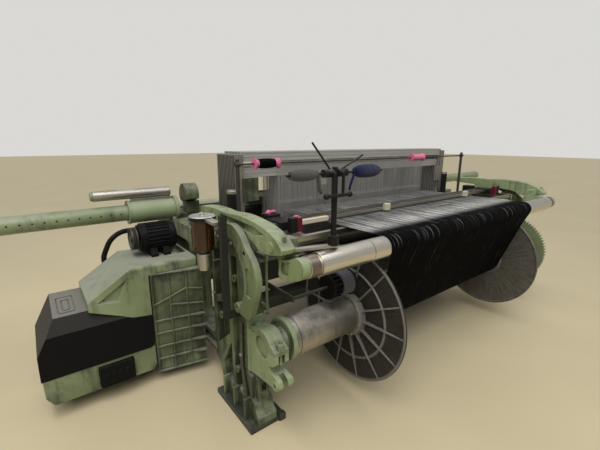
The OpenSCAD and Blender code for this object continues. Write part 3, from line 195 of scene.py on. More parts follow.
def tube_faces(rows, columns):
    """The quads of a grid that is round, with their outer side outwards."""
    return grid_faces(rows, columns, round_columns=True)[:, ::-1]


def join_shapes(shapes):
    """Several shapes of one face size as one."""
    points, faces, start = [], [], 0
    for p, f in shapes:
        p = np.asarray(p, dtype=float).reshape(-1, 3)
        points.append(p)
        faces.append(np.asarray(f) + start)
        start += len(p)
    return np.concatenate(points), np.concatenate(faces)


BLOCK_FACES = np.array([[1, 3, 2, 0], [6, 7, 5, 4], [4, 5, 1, 0], [3, 7, 6, 2], [2, 6, 4, 0], [5, 7, 3, 1]])


def block_faces(count):
    """The outward faces of blocks of eight corners each."""
    return (BLOCK_FACES + 8 * np.arange(count)[:, None, None]).reshape(-1, 4)


def about(middle, half):
    """The two ends of a stretch from its middle."""
    return middle - half, middle + half


def bars(x, y, z):
    """Low and high corners of boxes from the two ends along each axis, which are numbers or arrays."""
    return [np.stack(np.broadcast_arrays(x[k], y[k], z[k]), axis=-1).reshape(-1, 3) for k in (0, 1)]


def blocks(*pairs):
    """Boxes from pairs of low and high corners: the eight corners are every mix of low and high along X, Y
    and Z."""
    low, high = (np.concatenate([pair[k] for pair in pairs]) for k in (0, 1))
    pick = np.array([[x, y, z] for x in (0, 1) for y in (0, 1) for z in (0, 1)])
    return np.where(pick[None] == 1, high[:, None], low[:, None]).reshape(-1, 3), block_faces(len(low))


def around(steps):
    """Angles of a full turn in equal steps."""
    return np.linspace(0, FULL_TURN, steps, endpoint=False)


def turned(profile, centre, axis="X", steps=48):
    """Surface of revolution: each (along, radius) of the profile goes round the X or Z axis through
    centre."""
    profile = np.asarray(profile, dtype=float)
    angle = around(steps)
    along = np.repeat(profile[:, :1], steps, axis=1)
    one, two = profile[:, 1:] * np.cos(angle), profile[:, 1:] * np.sin(angle)
    order = (along, one, two) if axis == "X" else (one, two, along)
    points = np.stack(order, axis=2) + np.asarray(centre, dtype=float)
    return points.reshape(-1, 3), tube_faces(len(profile), steps)


def ring(x0, x1, inner, outer):
    """Profile of a ring between two places along its axis."""
    return [[x0, inner], [x0, outer], [x1, outer], [x1, inner]]


def tube_along(path, radius, sides):
    """Tube along a path: a circle of the radius, or one radius for each point, stands square to the path in a
    frame that doesn't twist. The ends are rings drawn in to almost a point."""
    path = np.asarray(path, dtype=float)
    radius = np.broadcast_to(np.asarray(radius, dtype=float), (len(path),))
    path = np.concatenate([path[:1], path, path[-1:]])
    radius = np.concatenate([[1e-5], radius, [1e-5]])
    ahead = np.gradient(path, axis=0)
    ahead[0], ahead[-1] = path[2] - path[0], path[-1] - path[-3]
    ahead /= np.linalg.norm(ahead, axis=1, keepdims=True)
    side = np.cross(ahead[0], [0.31, 0.17, 0.93])
    across = []
    for direction in ahead:
        side = side - direction * (side @ direction)
        side = side / np.linalg.norm(side)
        across.append(side)
    across = np.array(across)
    angle = around(sides)[None, :, None]
    circle = across[:, None] * np.cos(angle) + np.cross(ahead, across)[:, None] * np.sin(angle)
    return (path[:, None] + radius[:, None, None] * circle).reshape(-1, 3), tube_faces(len(path), sides)


def running_length(path):
    """The length of the path up to each of its points."""
    return np.concatenate([[0], np.cumsum(np.linalg.norm(np.diff(path, axis=0), axis=1))])


def smooth_path(points, steps):
    """Catmull-Rom curve through the points with the given number of steps between neighbours."""
    p = np.asarray(points, dtype=float)
    p = np.concatenate([2 * p[:1] - p[1:2], p, 2 * p[-1:] - p[-2:-1]])
    t = (np.arange(steps) / steps)[None, :, None]
    a, b, c, d = (p[k:len(p) - 3 + k][:, None] for k in range(4))
    curve = 0.5 * (2 * b + (c - a) * t + (2 * a - 5 * b + 4 * c - d) * t**2 + (3 * b - a - 3 * c + d) * t**3)
    return np.concatenate([curve.reshape(-1, p.shape[1]), p[-2:-1]])


def hexagon_heads(centres, side, radius, height):
    """Bolt heads that face along X to the side (1 or -1): hexagon rings, the last almost a point."""
    angle = around(6) * side
    levels = np.array([[0.0, 1.0], [0.82, 1.0], [1.0, 0.86], [1.0, 0.01]])
    head = np.zeros((len(levels), 6, 3))
    head[:, :, 0] = levels[:, :1] * height * side
    head[:, :, 1] = levels[:, 1:] * radius * np.cos(angle)
    head[:, :, 2] = levels[:, 1:] * radius * np.sin(angle)
    return join_shapes([(head + np.array(centre), tube_faces(len(levels), 6)) for centre in centres])


def blob(centre, size, seed, rows=18, columns=26):
    """A lump of fluff: an ellipsoid of the three radii whose radius is changed by sums of sines over both
    angles."""
    dice = np.random.default_rng(seed)
    v = np.linspace(0, math.pi, rows)[:, None]
    u = around(columns)[None]
    radius = np.ones((rows, columns))
    for _ in range(7):
        a, b, phase = dice.integers(1, 6), dice.integers(2, 7), dice.uniform(0, 6.28)
        radius = radius + 0.09 * np.sin(a * u + phase) * np.sin(b * v)
    points = np.stack([radius * np.sin(v) * np.cos(u) * size[0], radius * np.sin(v) * np.sin(u) * size[1],
                       radius * np.cos(v) * size[2]], axis=2) + np.asarray(centre)
    tip = 1e-5 * np.stack([np.cos(u[0]), np.sin(u[0]), 0 * u[0]], axis=1)
    for end in (0, -1):
        points[end] = points[end].mean(axis=0) + tip
    return points.reshape(-1, 3), grid_faces(rows, columns, round_columns=True)


# Shader helpers


class Value:
    """The output of a node. +, - and * put a Math node behind it."""

    def __init__(self, wires, socket):
        self.wires, self.socket = wires, socket

    def __add__(self, other):
        return self.wires.math("ADD", self, other)

    def __sub__(self, other):
        return self.wires.math("SUBTRACT", self, other)

    def __rsub__(self, other):
        return self.wires.math("SUBTRACT", other, self)

    def __mul__(self, other):
        return self.wires.math("MULTIPLY", self, other)


class Wires:
    """A node tree with short calls that add and join nodes."""

    def __init__(self, tree):
        self.tree = tree

    def put(self, socket, value):
        """Links a Value to the socket or sets it. A None leaves the socket as it is."""
        if isinstance(value, Value):
            self.tree.links.new(value.socket, socket)
        elif value is not None:
            socket.default_value = (*value, 1.0) if socket.type == "RGBA" else value

    def add(self, kind, inputs=None, out=0, **settings):
        """A new node with its settings and inputs: its output of that name or number, or all of them for
        None."""
        node = self.tree.nodes.new(kind)
        for key, value in settings.items():
            setattr(node, key, value)
        for key, value in (inputs or {}).items():
            self.put(node.inputs[key], value)
        if out is None:
            return {socket.name: Value(self, socket) for socket in node.outputs}
        return Value(self, node.outputs[out])

    def math(self, operation, a, b=None, clamp=False):
        return self.add("ShaderNodeMath", {0: a, 1: b}, operation=operation, use_clamp=clamp)

    def mix(self, share, a, b):
        return self.add("ShaderNodeMix", {0: share, 6: a, 7: b}, 2, data_type="RGBA")

    def layers(self, colour, *coats):
        """Lays coats over a colour, each a pair of its share and its colour."""
        for share, coat in coats:
            colour = self.mix(share, colour, coat)
        return colour

    def noise(self, vector, scale, detail, rough, distortion=0.0):
        inputs = {"Vector": vector, "Scale": scale, "Detail": detail, "Roughness": rough,
                  "Distortion": distortion}
        return self.add("ShaderNodeTexNoise", inputs, "Fac")

    def grain(self, vector, scale, detail=4.0, rough=0.6):
        """Noise with its own scale along each axis."""
        stretched = self.add("ShaderNodeMapping", {"Vector": vector, "Scale": scale})
        return self.noise(stretched, 1.0, detail, rough)

    def ramp(self, value, low, high):
        return self.add("ShaderNodeMapRange", {"Value": value, "From Min": low, "From Max": high},
                        interpolation_type="SMOOTHSTEP")

    def bump(self, height, strength, distance, normal=None):
        return self.add("ShaderNodeBump", {"Height": height, "Strength": strength, "Distance": distance,
                                           "Normal": normal})

    def bevel(self, radius):
        return self.add("ShaderNodeBevel", {"Radius": radius}, samples=4)

    def place(self, kind="Object"):
        return self.add("ShaderNodeTexCoord", out=kind)

    def split(self, vector):
        return list(self.add("ShaderNodeSeparateXYZ", {0: vector}, None).values())

    def normal(self):
        return self.add("ShaderNodeNewGeometry", out="Normal")


def group(name, outputs, **inputs):
    """A new node group: its wires, its inputs by name and its output's sockets. None stands for a vector
    input."""
    tree = bpy.data.node_groups.new(name, "ShaderNodeTree")
    for label, value in inputs.items():
        kind = "NodeSocketVector" if value is None else "NodeSocketFloat"
        socket = tree.interface.new_socket(label.replace("_", " "), in_out="INPUT", socket_type=kind)
        if value is not None:
            socket.default_value = value
    for label in outputs:
        tree.interface.new_socket(label, in_out="OUTPUT", socket_type="NodeSocketFloat")
    w = Wires(tree)
    return w, w.add("NodeGroupInput", out=None), tree.nodes.new("NodeGroupOutput").inputs


def settled_lint():
    """Lint on faces that look up: the height of the normal, broken up by coarse and fine noise."""
    w, given, out = group("Settled lint", ["Mask"], Vector=None, Amount=0.5)
    height = w.split(w.normal())[2]
    coarse = w.noise(given["Vector"], 9.0, 5.0, 0.62)
    fine = w.noise(given["Vector"], 9.0 * 14.0, 3.0, 0.7)
    level = 1.0 - given["Amount"] * 0.85
    mask = w.ramp(coarse * 0.65 + fine * 0.35, level - 0.30, level + 0.12)
    w.put(out["Mask"], mask * w.ramp(height, 0.25, 0.95))


def rubbed_edges():
    """Rubbed edges: where the rounded normal of a Bevel node leaves the face's own normal, broken up by
    noise."""
    w, given, out = group("Rubbed edges", ["Mask"], Vector=None, Radius=0.006, Amount=0.5)
    normals = {0: w.bevel(given["Radius"]), 1: w.normal()}
    dot = w.add("ShaderNodeVectorMath", normals, "Value", operation="DOT_PRODUCT")
    edge = w.ramp(1.0 - dot, 0.02, 0.30)
    broken = w.ramp(w.noise(given["Vector"], 55.0, 5.0, 0.65), 0.35, 0.65)
    w.put(out["Mask"], edge * broken * given["Amount"])


def grime():
    """Dirt: large soft blotches with small specks and runs that hang down; and painted shade in corners."""
    w, given, out = group("Grime", ["Mask"], Vector=None, Amount=0.5)
    open_air = w.add("ShaderNodeAmbientOcclusion", {"Distance": 0.07}, "AO", samples=6)
    blotch = w.noise(given["Vector"], 5.0, 6.0, 0.6, 0.4)
    runs = w.grain(given["Vector"], (26.0, 26.0, 2.2))
    specks = w.ramp(w.noise(given["Vector"], 130.0, 2.0, 0.6), 0.66, 0.74)
    level = 0.78 - given["Amount"] * 0.42
    film = w.ramp(blotch * 0.62 + runs * 0.38, level, level + 0.22)
    # Painted shade: the corners that the Ambient Occlusion node finds closed in are darkened.
    held = (1.0 - w.ramp(open_air, 0.25, 0.85)) * given["Amount"]
    held = w.math("MULTIPLY", held, blotch + 0.45, clamp=True)
    w.put(out["Mask"], w.math("MAXIMUM", w.math("ADD", film, held, clamp=True), specks * given["Amount"]))


def yarn_lay():
    """Threads side by side along the second UV axis: a sine over the first UV axis with its height broken up
    by noise. A streak is a noise that is fine across the threads and slow along them, at two sizes. Fluff is
    short pale ends."""
    w, given, out = group("Yarn lay", ["Height", "Streak", "Fluff"], Threads_per_metre=700.0, Streaks=0.5)
    uv = w.place("UV")
    wave = w.math("SINE", w.split(uv)[0] * given["Threads per metre"] * FULL_TURN) * 0.5 + 0.5
    long_streak = w.grain(uv, (85.0, 1.1, 1.0), 5.0, 0.7)
    fine_streak = w.grain(uv, (520.0, 7.0, 1.0), 3.0, 0.62)
    level = 0.74 - given["Streaks"] * 0.30
    w.put(out["Height"], wave + fine_streak * 1.2)
    w.put(out["Streak"], w.ramp(long_streak * 0.55 + fine_streak * 0.45, level, level + 0.12))
    w.put(out["Fluff"], w.ramp(w.grain(uv, (260.0, 60.0, 1.0), 5.0, 0.75), 0.60, 0.76))


GROUP_MAKERS = {
    "Settled lint": settled_lint, "Rubbed edges": rubbed_edges, "Grime": grime, "Yarn lay": yarn_lay,
}


class Finish(Wires):
    """A new material and the nodes round its Principled shader."""

    def __init__(self, name):
        self.material = bpy.data.materials.new(name)
        self.material.use_nodes = True
        super().__init__(self.material.node_tree)

    def shared(self, name, **inputs):
        """A shared node group, placed in this material with its own values: its outputs by name."""
        if name not in bpy.data.node_groups:
            GROUP_MAKERS[name]()
        return self.add("ShaderNodeGroup", inputs, None, node_tree=bpy.data.node_groups[name])

    def age(self, here, radius, rubbed, dirt, lint):
        """Masks of the rubbed edges, the grime with its painted shade in corners, and the settled lint by
        their amounts.
        """
        return (self.shared("Rubbed edges", Vector=here, Radius=radius, Amount=rubbed)["Mask"],
                self.shared("Grime", Vector=here, Amount=dirt)["Mask"],
                self.shared("Settled lint", Vector=here, Amount=lint)["Mask"])

    def done(self, colour, rough, normal=None, **more):
        """Puts what was made on the Principled shader's sockets."""
        shader = self.tree.nodes["Principled BSDF"].inputs
        for label, value in {"Base Color": colour, "Roughness": rough, "Normal": normal, **more}.items():
            self.put(shader[label.replace("_", " ")], value)
        return self.material


def tone(colour, factor=1.0, more=0.0):
    """The colour times the factor plus more, at most 1."""
    return tuple(min(1.0, factor * c + more) for c in colour)


def enamel(name, base, worn, dirt, lint, wear, rough=0.38, round_edge=0.006):
    """Old machine enamel: base paint with blotches, rubbed pale edges, dark grime with painted shade in
    corners, and lint on top.
    """
    c, w = colours(), Finish(name)
    here = w.place()
    edges, film, dust = w.age(here, round_edge, wear, dirt, lint)
    patch = w.ramp(w.noise(here, 2.6, 3.0, 0.5), 0.35, 0.7)
    faded = tuple(0.55 * b + 0.45 * v for b, v in zip(base, worn))
    # film darkens towards grease: dirt blotches, and painted shade in corners.
    colour = w.layers(base, (patch, faded), (film * 0.86, tone(c.grease)), (edges, worn),
                      (dust * 0.8, tone(c.lint)))
    rough = w.math("ADD", w.math("ADD", rough, dust * 0.45, clamp=True), film * 0.12, clamp=True)
    skin = w.noise(here, 48.0, 4.0, 0.55) + w.noise(here, 190.0, 2.0, 0.5) * 0.3
    return w.done(colour, rough, w.bump(skin, 0.22, 0.0016, w.bevel(round_edge * 0.6)), Coat_Weight=0.08,
                  Specular_IOR_Level=0.4)


def metal(name, base, axis, rough, lint, dirt, metallic=1.0):
    """Worked steel: fine grooves along one axis, a dark film in blotches with painted shade in corners, and
    some lint.
    """
    c, w = colours(), Finish(name)
    here = w.place()
    grooves = w.grain(here, tuple(4.0 if letter == axis else 320.0 for letter in "XYZ"))
    # The Grime mask holds dirt blotches and painted shade in corners.
    film = w.shared("Grime", Vector=here, Amount=dirt)["Mask"]
    colour = w.layers(tone(base, 0.78), (w.ramp(grooves, 0.3, 0.7), base), (film * 0.6, tone(c.grease)))
    rough = w.math("ADD", rough, film * 0.25, clamp=True)
    if lint:
        dust = w.shared("Settled lint", Vector=here, Amount=lint)["Mask"]
        colour = w.mix(dust * 0.7, colour, tone(c.lint))
        rough = w.math("ADD", rough, dust * 0.5, clamp=True)
        metallic = (1.0 - dust) * metallic
    return w.done(colour, rough, w.bump(grooves, 0.12, 0.0006), Metallic=metallic)


def disc_steel(name, base):
    """Flange steel: streaks run out from the beam's axis, so the pattern is a noise over the angle and slow
    over the radius. What stands out of the disc's face is rubbed bright."""
    c, w = colours(), Finish(name)
    face = WARP_HALF + 0.015
    here = w.place()
    x, y, z = w.split(here)
    across, above = y - BEAM_Y, z - BEAM_Z
    reach = w.math("SQRT", across * across + above * above)
    angle = w.math("ARCTAN2", above, across)
    radial = w.noise(w.add("ShaderNodeCombineXYZ", {0: angle * 30.0, 1: reach * 9.0}), 1.0, 4.0, 0.6)
    rings = w.ramp(w.noise(reach, 160.0, 3.0, 0.6), 0.45, 0.7)
    edges, film, dust = w.age(here, 0.006, 0.9, 0.55, 0.35)
    raised = w.ramp(w.math("ABSOLUTE", x), face + 0.0012, face + 0.0030)
    # film darkens towards grease: dirt blotches, and painted shade in corners.
    colour = w.layers(tone(base, 0.10), (w.ramp(radial, 0.3, 0.72), tone(base, 0.19)),
                      (rings * 0.35, tone(base, 0.26)), (film * 0.55, tone(c.grease)),
                      (raised * 0.85, tone(base, 0.85)), (edges, tone(base, 2.2)), (dust * 0.6, tone(c.lint)))
    return w.done(colour, w.math("ADD", 0.40, radial * 0.25, clamp=True), w.bump(radial, 0.15, 0.0012),
                  Metallic=w.math("SUBTRACT", 0.34, film * 0.25, clamp=True), Specular_IOR_Level=0.25)


def moulding(name, base, lint, rough=0.45, gloss=0.16, lint_tone=1.0):
    """Moulded cover or block: fine pebbled skin, greasy marks and grey lint on top."""
    c, w = colours(), Finish(name)
    here = w.place()
    edges, film, dust = w.age(here, 0.007, 0.5, 0.45, lint)
    colour = w.layers(base, (film * 0.5, tone(base, 1.5, 0.012)), (edges, tone(base, 4.0, 0.02)),
                      (dust, tone(c.lint, lint_tone)))
    pebble = w.bump(w.noise(here, 620.0, 2.0, 0.5), 0.1, 0.0005, w.bevel(0.006))
    return w.done(colour, w.math("ADD", rough, dust * 0.4, clamp=True), pebble, Specular_IOR_Level=gloss)


def oil_glass(name, base):
    """Amber oil bowl: clear resin with brown oil film and scratches."""
    w = Finish(name)
    film = w.grain(w.place(), (30.0, 30.0, 6.0))
    colour = w.mix(w.ramp(film, 0.3, 0.75), base, tone(base, 0.35))
    return w.done(colour, film * 0.25 + 0.08, Transmission_Weight=0.45, IOR=1.5)


def warp_finish(name, streaks, bend=None, dusty=False):
    """Threads lying side by side with grey streaks of fluff, from the piece's own UV map in metres. From the
    height bend up to the roller's top, streaks of threads get a painted highlight. On a dusty sheet the black
    of the bend turns into the grey of the flat part along the second UV axis."""
    c, w = colours(), Finish(name)
    base = tone(c.warp)
    lay = w.shared("Yarn lay", Streaks=streaks)
    colour = w.layers(base, (w.math("POWER", lay["Streak"], 2.0), tone(c.lint, 1.1)),
                      (lay["Fluff"] * 0.0625, tone(c.lint, 0.5)))
    if bend is not None:
        # Painted highlight: pale streaks on the threads from the bend height up to the roller's top.
        proud = w.ramp(w.grain(w.place("UV"), (62.0, 1.0, 1.0)), 0.57, 0.74)
        shine = proud * w.ramp(w.split(w.place())[2], bend, ROLLER_Z + 0.9 * ROLLER_R)
        colour = w.mix(shine, colour, (0.36, 0.36, 0.35))
    if dusty:
        along = w.split(w.place("UV"))[1]
        wide = w.shared("Yarn lay", Streaks=min(1.0, streaks + 0.42))
        grey = w.layers(tone(c.lint, 0.26, base[0]), (wide["Streak"], (0.62, 0.62, 0.60)),
                        (wide["Fluff"] * 0.6, (0.70, 0.70, 0.68)))
        colour = w.mix(w.ramp(along, 0.05, 0.16) - w.ramp(along, 0.15, 0.36) * 0.62, colour, grey)
    return w.done(colour, 0.85 - lay["Streak"] * 0.2, w.bump(lay["Height"], 0.6, 0.0012),
                  Specular_IOR_Level=0.04)


def woven(name, base):
    """Plain weave: two crossed sines over the UV map in metres, with slubs and a little fluff."""
    c, w = colours(), Finish(name)
    uv = w.place("UV")
    u, v = w.split(uv)[:2]
    weave = w.math("SINE", u * (FULL_TURN * 420.0)) * w.math("SINE", v * (FULL_TURN * 420.0))
    slub = w.grain(uv, (9.0, 150.0, 1.0))
    thick = w.ramp(w.grain(uv, (150.0, 7.0, 1.0)), 0.5, 0.75)
    fluff = w.ramp(w.noise(uv, 90.0, 5.0, 0.7), 0.60, 0.8)
    colour = w.layers(base, (w.ramp(slub, 0.35, 0.7), tone(base, 2.2)), (thick * 0.5, tone(base, 0.4)),
                      (fluff * 0.25, tone(c.lint)))
    return w.done(colour, slub * 0.2 + 0.72, w.bump(weave + slub * 1.5, 0.5, 0.0007), Specular_IOR_Level=0.15,
                  Sheen_Weight=0.08)


def yarn_package(name, base, fibre):
    """Yarn wound on a spool: crossing threads as two diagonal waves over the UV map, and fuzz of pale
    fibre."""
    w = Finish(name)
    uv = w.place("UV")
    u, v = w.split(uv)[:2]
    u, v = u * 2400.0, v * 500.0
    thread = w.math("MAXIMUM", w.math("SINE", u + v), w.math("SINE", u - v))
    fuzz = w.noise(uv, 160.0, 5.0, 0.7)
    colour = w.layers(tone(base, 0.5), (w.ramp(thread, -0.2, 0.9), base),
                      (w.ramp(fuzz, 0.55, 0.8) * 0.45, fibre))
    rough = w.math("ADD", 0.75, fuzz * 0.2, clamp=True)
    return w.done(colour, rough, w.bump(thread + fuzz * 1.4, 0.6, 0.0012), Specular_IOR_Level=0.15,
                  Sheen_Weight=0.12)


def stage_floor(name, base):
    """Sealed pale floor: faint clouds and specks."""
    w = Finish(name)
    here = w.place()
    cloud = w.noise(here, 0.9, 5.0, 0.6)
    speck = w.ramp(w.noise(here, 60.0, 3.0, 0.6), 0.62, 0.72)
    colour = w.layers(tone(base, 0.93), (w.ramp(cloud, 0.3, 0.75), base), (speck * 0.12, tone(base, 0.6)))
    return w.done(colour, cloud * 0.15 + 0.42, w.bump(cloud, 0.05, 0.002))


FINISH = {}


def make_finishes():
    """Every finish by name."""
    c = colours()
    sage, worn, lint, steel = tone(c.sage), tone(c.sage_worn), tone(c.lint), tone(c.steel)
    dull, heald, navy, pink = tone(c.dull_steel), tone(c.heald), tone(c.navy_yarn), tone(c.pink_yarn)
    FINISH.update(
        sage_paint=enamel("sage enamel", sage, worn, 0.62, 0.45, 0.8),
        frame_paint=enamel("frame enamel", tone(sage, 0.74), worn, 0.98, 0.4, 0.75),
        # Painted light: a lighter copy of the sage paint for the arms and roller brackets, for their lit
        # faces.
        arm_paint=enamel("arm enamel", tone(sage, 1.35), tone(worn, 1.3), 0.76, 0.45, 0.95),
        base_paint=enamel("base enamel", tone(sage, 0.86), worn, 0.75, 0.5, 0.7),
        bracket_paint=enamel("bracket enamel", tone(sage, 1.2), tone(worn, 1.2), 0.60, 0.45, 0.9),
        # Painted shade: a darker copy of the sage paint for the rapier housings, which lie in shade.
        housing_paint=enamel("housing enamel", tone(sage, 0.55), sage, 0.95, 0.45, 0.5),
        cover_paint=enamel("cover enamel", sage, worn, 0.66, 0.62, 0.6, 0.42, 0.010),
        # Painted shade: a darker copy of the sage paint for the ribbed cover, which lies in shade.
        panel_paint=enamel("panel enamel", tone(sage, 0.56), worn, 0.95, 0.55, 0.6, 0.42, 0.005),
        dark_paint=enamel("foot enamel", tone(c.foot), tone(c.foot, 3.2), 0.7, 0.25, 0.5, 0.5),
        black_cover=moulding("cover moulding", tone(c.cover), 0.95, 0.45, 0.06, 0.72),
        grey_box=moulding("motor enamel", (0.006, 0.0065, 0.0065), 0.22, 0.45, 0.07),
        hub_black=moulding("stand enamel", (0.010, 0.010, 0.0105), 0.25, 0.38),
        fan_hub=moulding("hub moulding", (0.006, 0.006, 0.0065), 0.15, 0.40),
        black_hose=moulding("hose rubber", (0.005, 0.005, 0.005), 0.25, 0.55, 0.10),
        rubber_roller=moulding("roller rubber", (0.010, 0.010, 0.010), 0.3, 0.6),
        maroon=moulding("maroon moulding", tone(c.maroon), 0.5),
        cream=moulding("cream moulding", tone(c.cream), 0.3),
        chrome_roller=metal("roller steel", tone(steel, 1.25), "X", 0.30, 0.22, 0.30),
        steel=metal("bright steel", steel, "X", 0.30, 0.3, 0.35),
        lid_alloy=metal("lid alloy", tone(steel, 0.8), "Z", 0.34, 0.4, 0.45),
        rail_alloy=metal("rail alloy", heald, "X", 0.42, 0.35, 0.25, 0.25),
        wire_steel=metal("heald wire", tone(heald, 1.15), "Z", 0.40, None, 0.2, 0.2),
        barrel_steel=metal("barrel steel", tone(dull, 1.8), "X", 0.40, 0.35, 0.72),
        dark_steel=metal("oiled steel", tone(dull, 0.22), "Z", 0.50, 0.35, 0.5, 0.5),
        column_steel=metal("column steel", tone(dull, 0.08), "Z", 0.55, 0.10, 0.4, 0.3),
        bronze=metal("bronze sleeve", (0.25, 0.205, 0.17), "X", 0.38, 0.2, 0.5),
        bolt_steel=metal("bolt steel", tone(steel, 0.55), "X", 0.45, 0.3, 0.6, 0.8),
        flange_steel=disc_steel("flange steel", dull),
        # Painted reflection: the far flange is the same steel painted 3.3 times lighter.
        far_flange=disc_steel("far flange steel", tone(dull, 3.3)),
        amber_glass=oil_glass("oil bowl resin", tone(c.amber)),
        black_yarn=warp_finish("warp yarn", 0.48),
        # The warp at the bend and the warp over the rails carry a painted highlight from their bend height up
        # to the roller's top.
        warp_bend=warp_finish("warp at the bend", 0.60, ROLLER_Z - 0.02),
        warp_flat=warp_finish("warp over the rails", 0.54, ROLLER_Z, dusty=True),
        dark_cloth=woven("dark cloth", tone(c.cloth)),
        selvedge_yarn=yarn_package("selvedge yarn", (0.115, 0.110, 0.125), lint),
        grey_yarn=yarn_package("grey yarn", tone(c.grey_yarn), lint),
        navy_yarn=yarn_package("navy yarn", navy, tone(navy, 2.6)),
        pink_yarn=yarn_package("pink yarn", pink, tone(pink, 1.2)),
        floor=stage_floor("pale floor", tone(c.floor)),
    )


NODE_FINISH = {
    "left_beam_flange": "flange_steel", "right_beam_flange": "far_flange", "left_side_frame": "frame_paint",
    "right_side_frame": "frame_paint", "drive_hood": "cover_paint", "ribbed_cover": "panel_paint",
    "drive_base": "base_paint", "spool_stand": "hub_black", "frame_guides": "bolt_steel",
    "backrest_arms": "arm_paint", "left_roller_bracket": "arm_paint", "right_roller_bracket": "arm_paint",
    "rapier_housings": "housing_paint", "beam_brackets": "bracket_paint", "curved_brackets": "base_paint",
    "steel_column": "column_steel",
}


def finish_of(node):
    return FINISH[NODE_FINISH.get(node, SLOT_OF[node])]


# Pieces


def settle(piece, body, slot_name=None, *nodes):
    """Rides a piece on its body and hides the CAD nodes that it stands for. The slot name is not used."""
    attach(piece, body)
    if nodes:
        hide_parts(*nodes)
    return piece


def round_edges(piece, width, segments, angle=30.0):
    """Bevels the edges that are sharper than the angle in degrees."""
    edge = piece.modifiers.new("round edges", "BEVEL")
    edge.width, edge.segments, edge.limit_method = width, segments, "ANGLE"
    edge.angle_limit = math.radians(angle)
    return piece


def lathe(name, finish, body, shapes, slot_name=None, hard=40):
    """Turned shapes, each given by what turned() takes, as one piece."""
    shape = join_shapes([turned(*values) for values in shapes])
    return settle(solid(name, shape, finish, smooth=True, hard=hard), body, slot_name)


def wound(name, finish, body, profile, axis, radius, steps, slot_name=None, *nodes, hard=None):
    """Yarn or cloth turned about the axis (y, z), with a UV map in metres: along X and round at the
    radius."""
    shape = turned(profile, (0, *axis), "X", steps)
    uv = np.stack([shape[0][:, 0], np.tile(around(steps), len(profile)) * radius], axis=1)
    return settle(solid(name, shape, finish, uv, smooth=True, hard=hard), body, slot_name, *nodes)


def shaft_ends(*nodes):
    """Depth, height and radius of the round end of each node's shaft, which runs along X."""
    ends = []
    for node in nodes:
        points = np.array([vert.co for vert in frame["nodes"][node].data.vertices])
        tip = points[points[:, 0] > points[:, 0].max() - 1e-4][:, 1:]
        low, high = tip.min(0), tip.max(0)
        ends.append((*((low + high) / 2), (high - low).max() / 2))
    return ends


def rounded_copy(node, width, segments=2, angle=32.0, shafts=(), room=0.0005):
    """The CAD node's own shape with its edges rounded: doubles merged, flat triangles joined, then a bevel. A
    bore on one of the shafts (y, z, r) is widened by room, so that the shaft's facets stay clear of it in
    every turn."""
    mesh = bpy.data.meshes.new(node + "_rounded")
    shape = bmesh.new()
    shape.from_mesh(frame["nodes"][node].data)
    bmesh.ops.remove_doubles(shape, verts=shape.verts, dist=2e-5)
    bmesh.ops.dissolve_limit(shape, angle_limit=math.radians(1.5), verts=shape.verts, edges=shape.edges)
    for y, z, radius in shafts:
        for vert in shape.verts:
            away = math.hypot(vert.co.y - y, vert.co.z - z)
            if abs(away - radius) < 0.0004:
                vert.co.y += (vert.co.y - y) / away * room
                vert.co.z += (vert.co.z - z) / away * room
    shape.to_mesh(mesh)
    shape.free()
    piece = round_edges(link(node + "_rounded", mesh, finish_of(node)), width, segments, angle)
    piece.modifiers.new("flat faces", "WEIGHTED_NORMAL").keep_sharp = True
    return settle(piece, BODY_OF[node], SLOT_OF[node], node)


# Each node with its share of the rounding in the settings
CASTINGS = {
    "left_side_frame": 1.0, "right_side_frame": 1.0, "beam_brackets": 0.7, "left_bearing_cap": 0.6,
    "right_bearing_cap": 0.6, "backrest_arms": 1.0, "curved_brackets": 0.8, "left_roller_bracket": 0.7,
    "right_roller_bracket": 0.7, "breast_beam": 0.5, "rapier_housings": 0.8, "letoff_housing": 0.8,
    "tube_sleeves": 0.4, "floor_plates": 0.6,
}
COVERS = {"ribbed_cover": 0.35, "drive_hood": 1.6, "drive_cover": 1.2, "drive_base": 1.0, "control_box": 0.5}


class LOOM_OT_cad_finishes(bpy.types.Operator):
    """Gives every CAD node its own finish"""
    bl_idname = "loom.cad_finishes"
    bl_label = "Finish the CAD nodes"

    def execute(self, context):
        make_finishes()
        for name, node in frame["nodes"].items():
            if not node.material_slots:
                node.data.materials.append(None)
            for slot in node.material_slots:
                slot.material = finish_of(name)
        return {"FINISHED"}


class LOOM_OT_castings(bpy.types.Operator):
    """Rounds the edges of the castings and of the pressed covers"""
    bl_idname = "loom.castings"
    bl_label = "Castings and covers"

    def execute(self, context):
        shafts = shaft_ends("sley", "takeup_roller", "press_roller", "cloth_roller")
        for node, share in CASTINGS.items():
            rounded_copy(node, share * sizes().casting_round, shafts=shafts if "side_frame" in node else ())
        for node, share in COVERS.items():
            rounded_copy(node, share * sizes().sheet_round, 3, 24.0)
        return {"FINISHED"}


def tangent_angle(c1, r1, c2, r2):
    """Angle of the left-hand tangent of two circles: the line between centres turned by 90 degrees, less the
    arcsine of the radius difference over the distance."""
    away = np.subtract(c2, c1)
    return math.atan2(away[1], away[0]) + math.pi / 2 - math.asin((r1 - r2) / np.hypot(*away))


def arc_points(centre, radius, start, end, count):
    """Points of a circle arc in the YZ plane."""
    angle = np.linspace(start, end, count)
    return np.stack([centre[0] + radius * np.cos(angle), centre[1] + radius * np.sin(angle)], axis=1)


def line_points(a, b, count):
    """Points between a and b, without the two."""
    share = np.linspace(0, 1, count)[1:-1, None]
    return np.asarray(a) * (1 - share) + np.asarray(b) * share


def belt_points(c1, r1, c2, r2, angle, count):
    """The straight stretch between two circles that leaves both at the angle."""
    out = np.array([math.cos(angle), math.sin(angle)])
    return line_points(c1 + r1 * out, c2 + r2 * out, count)


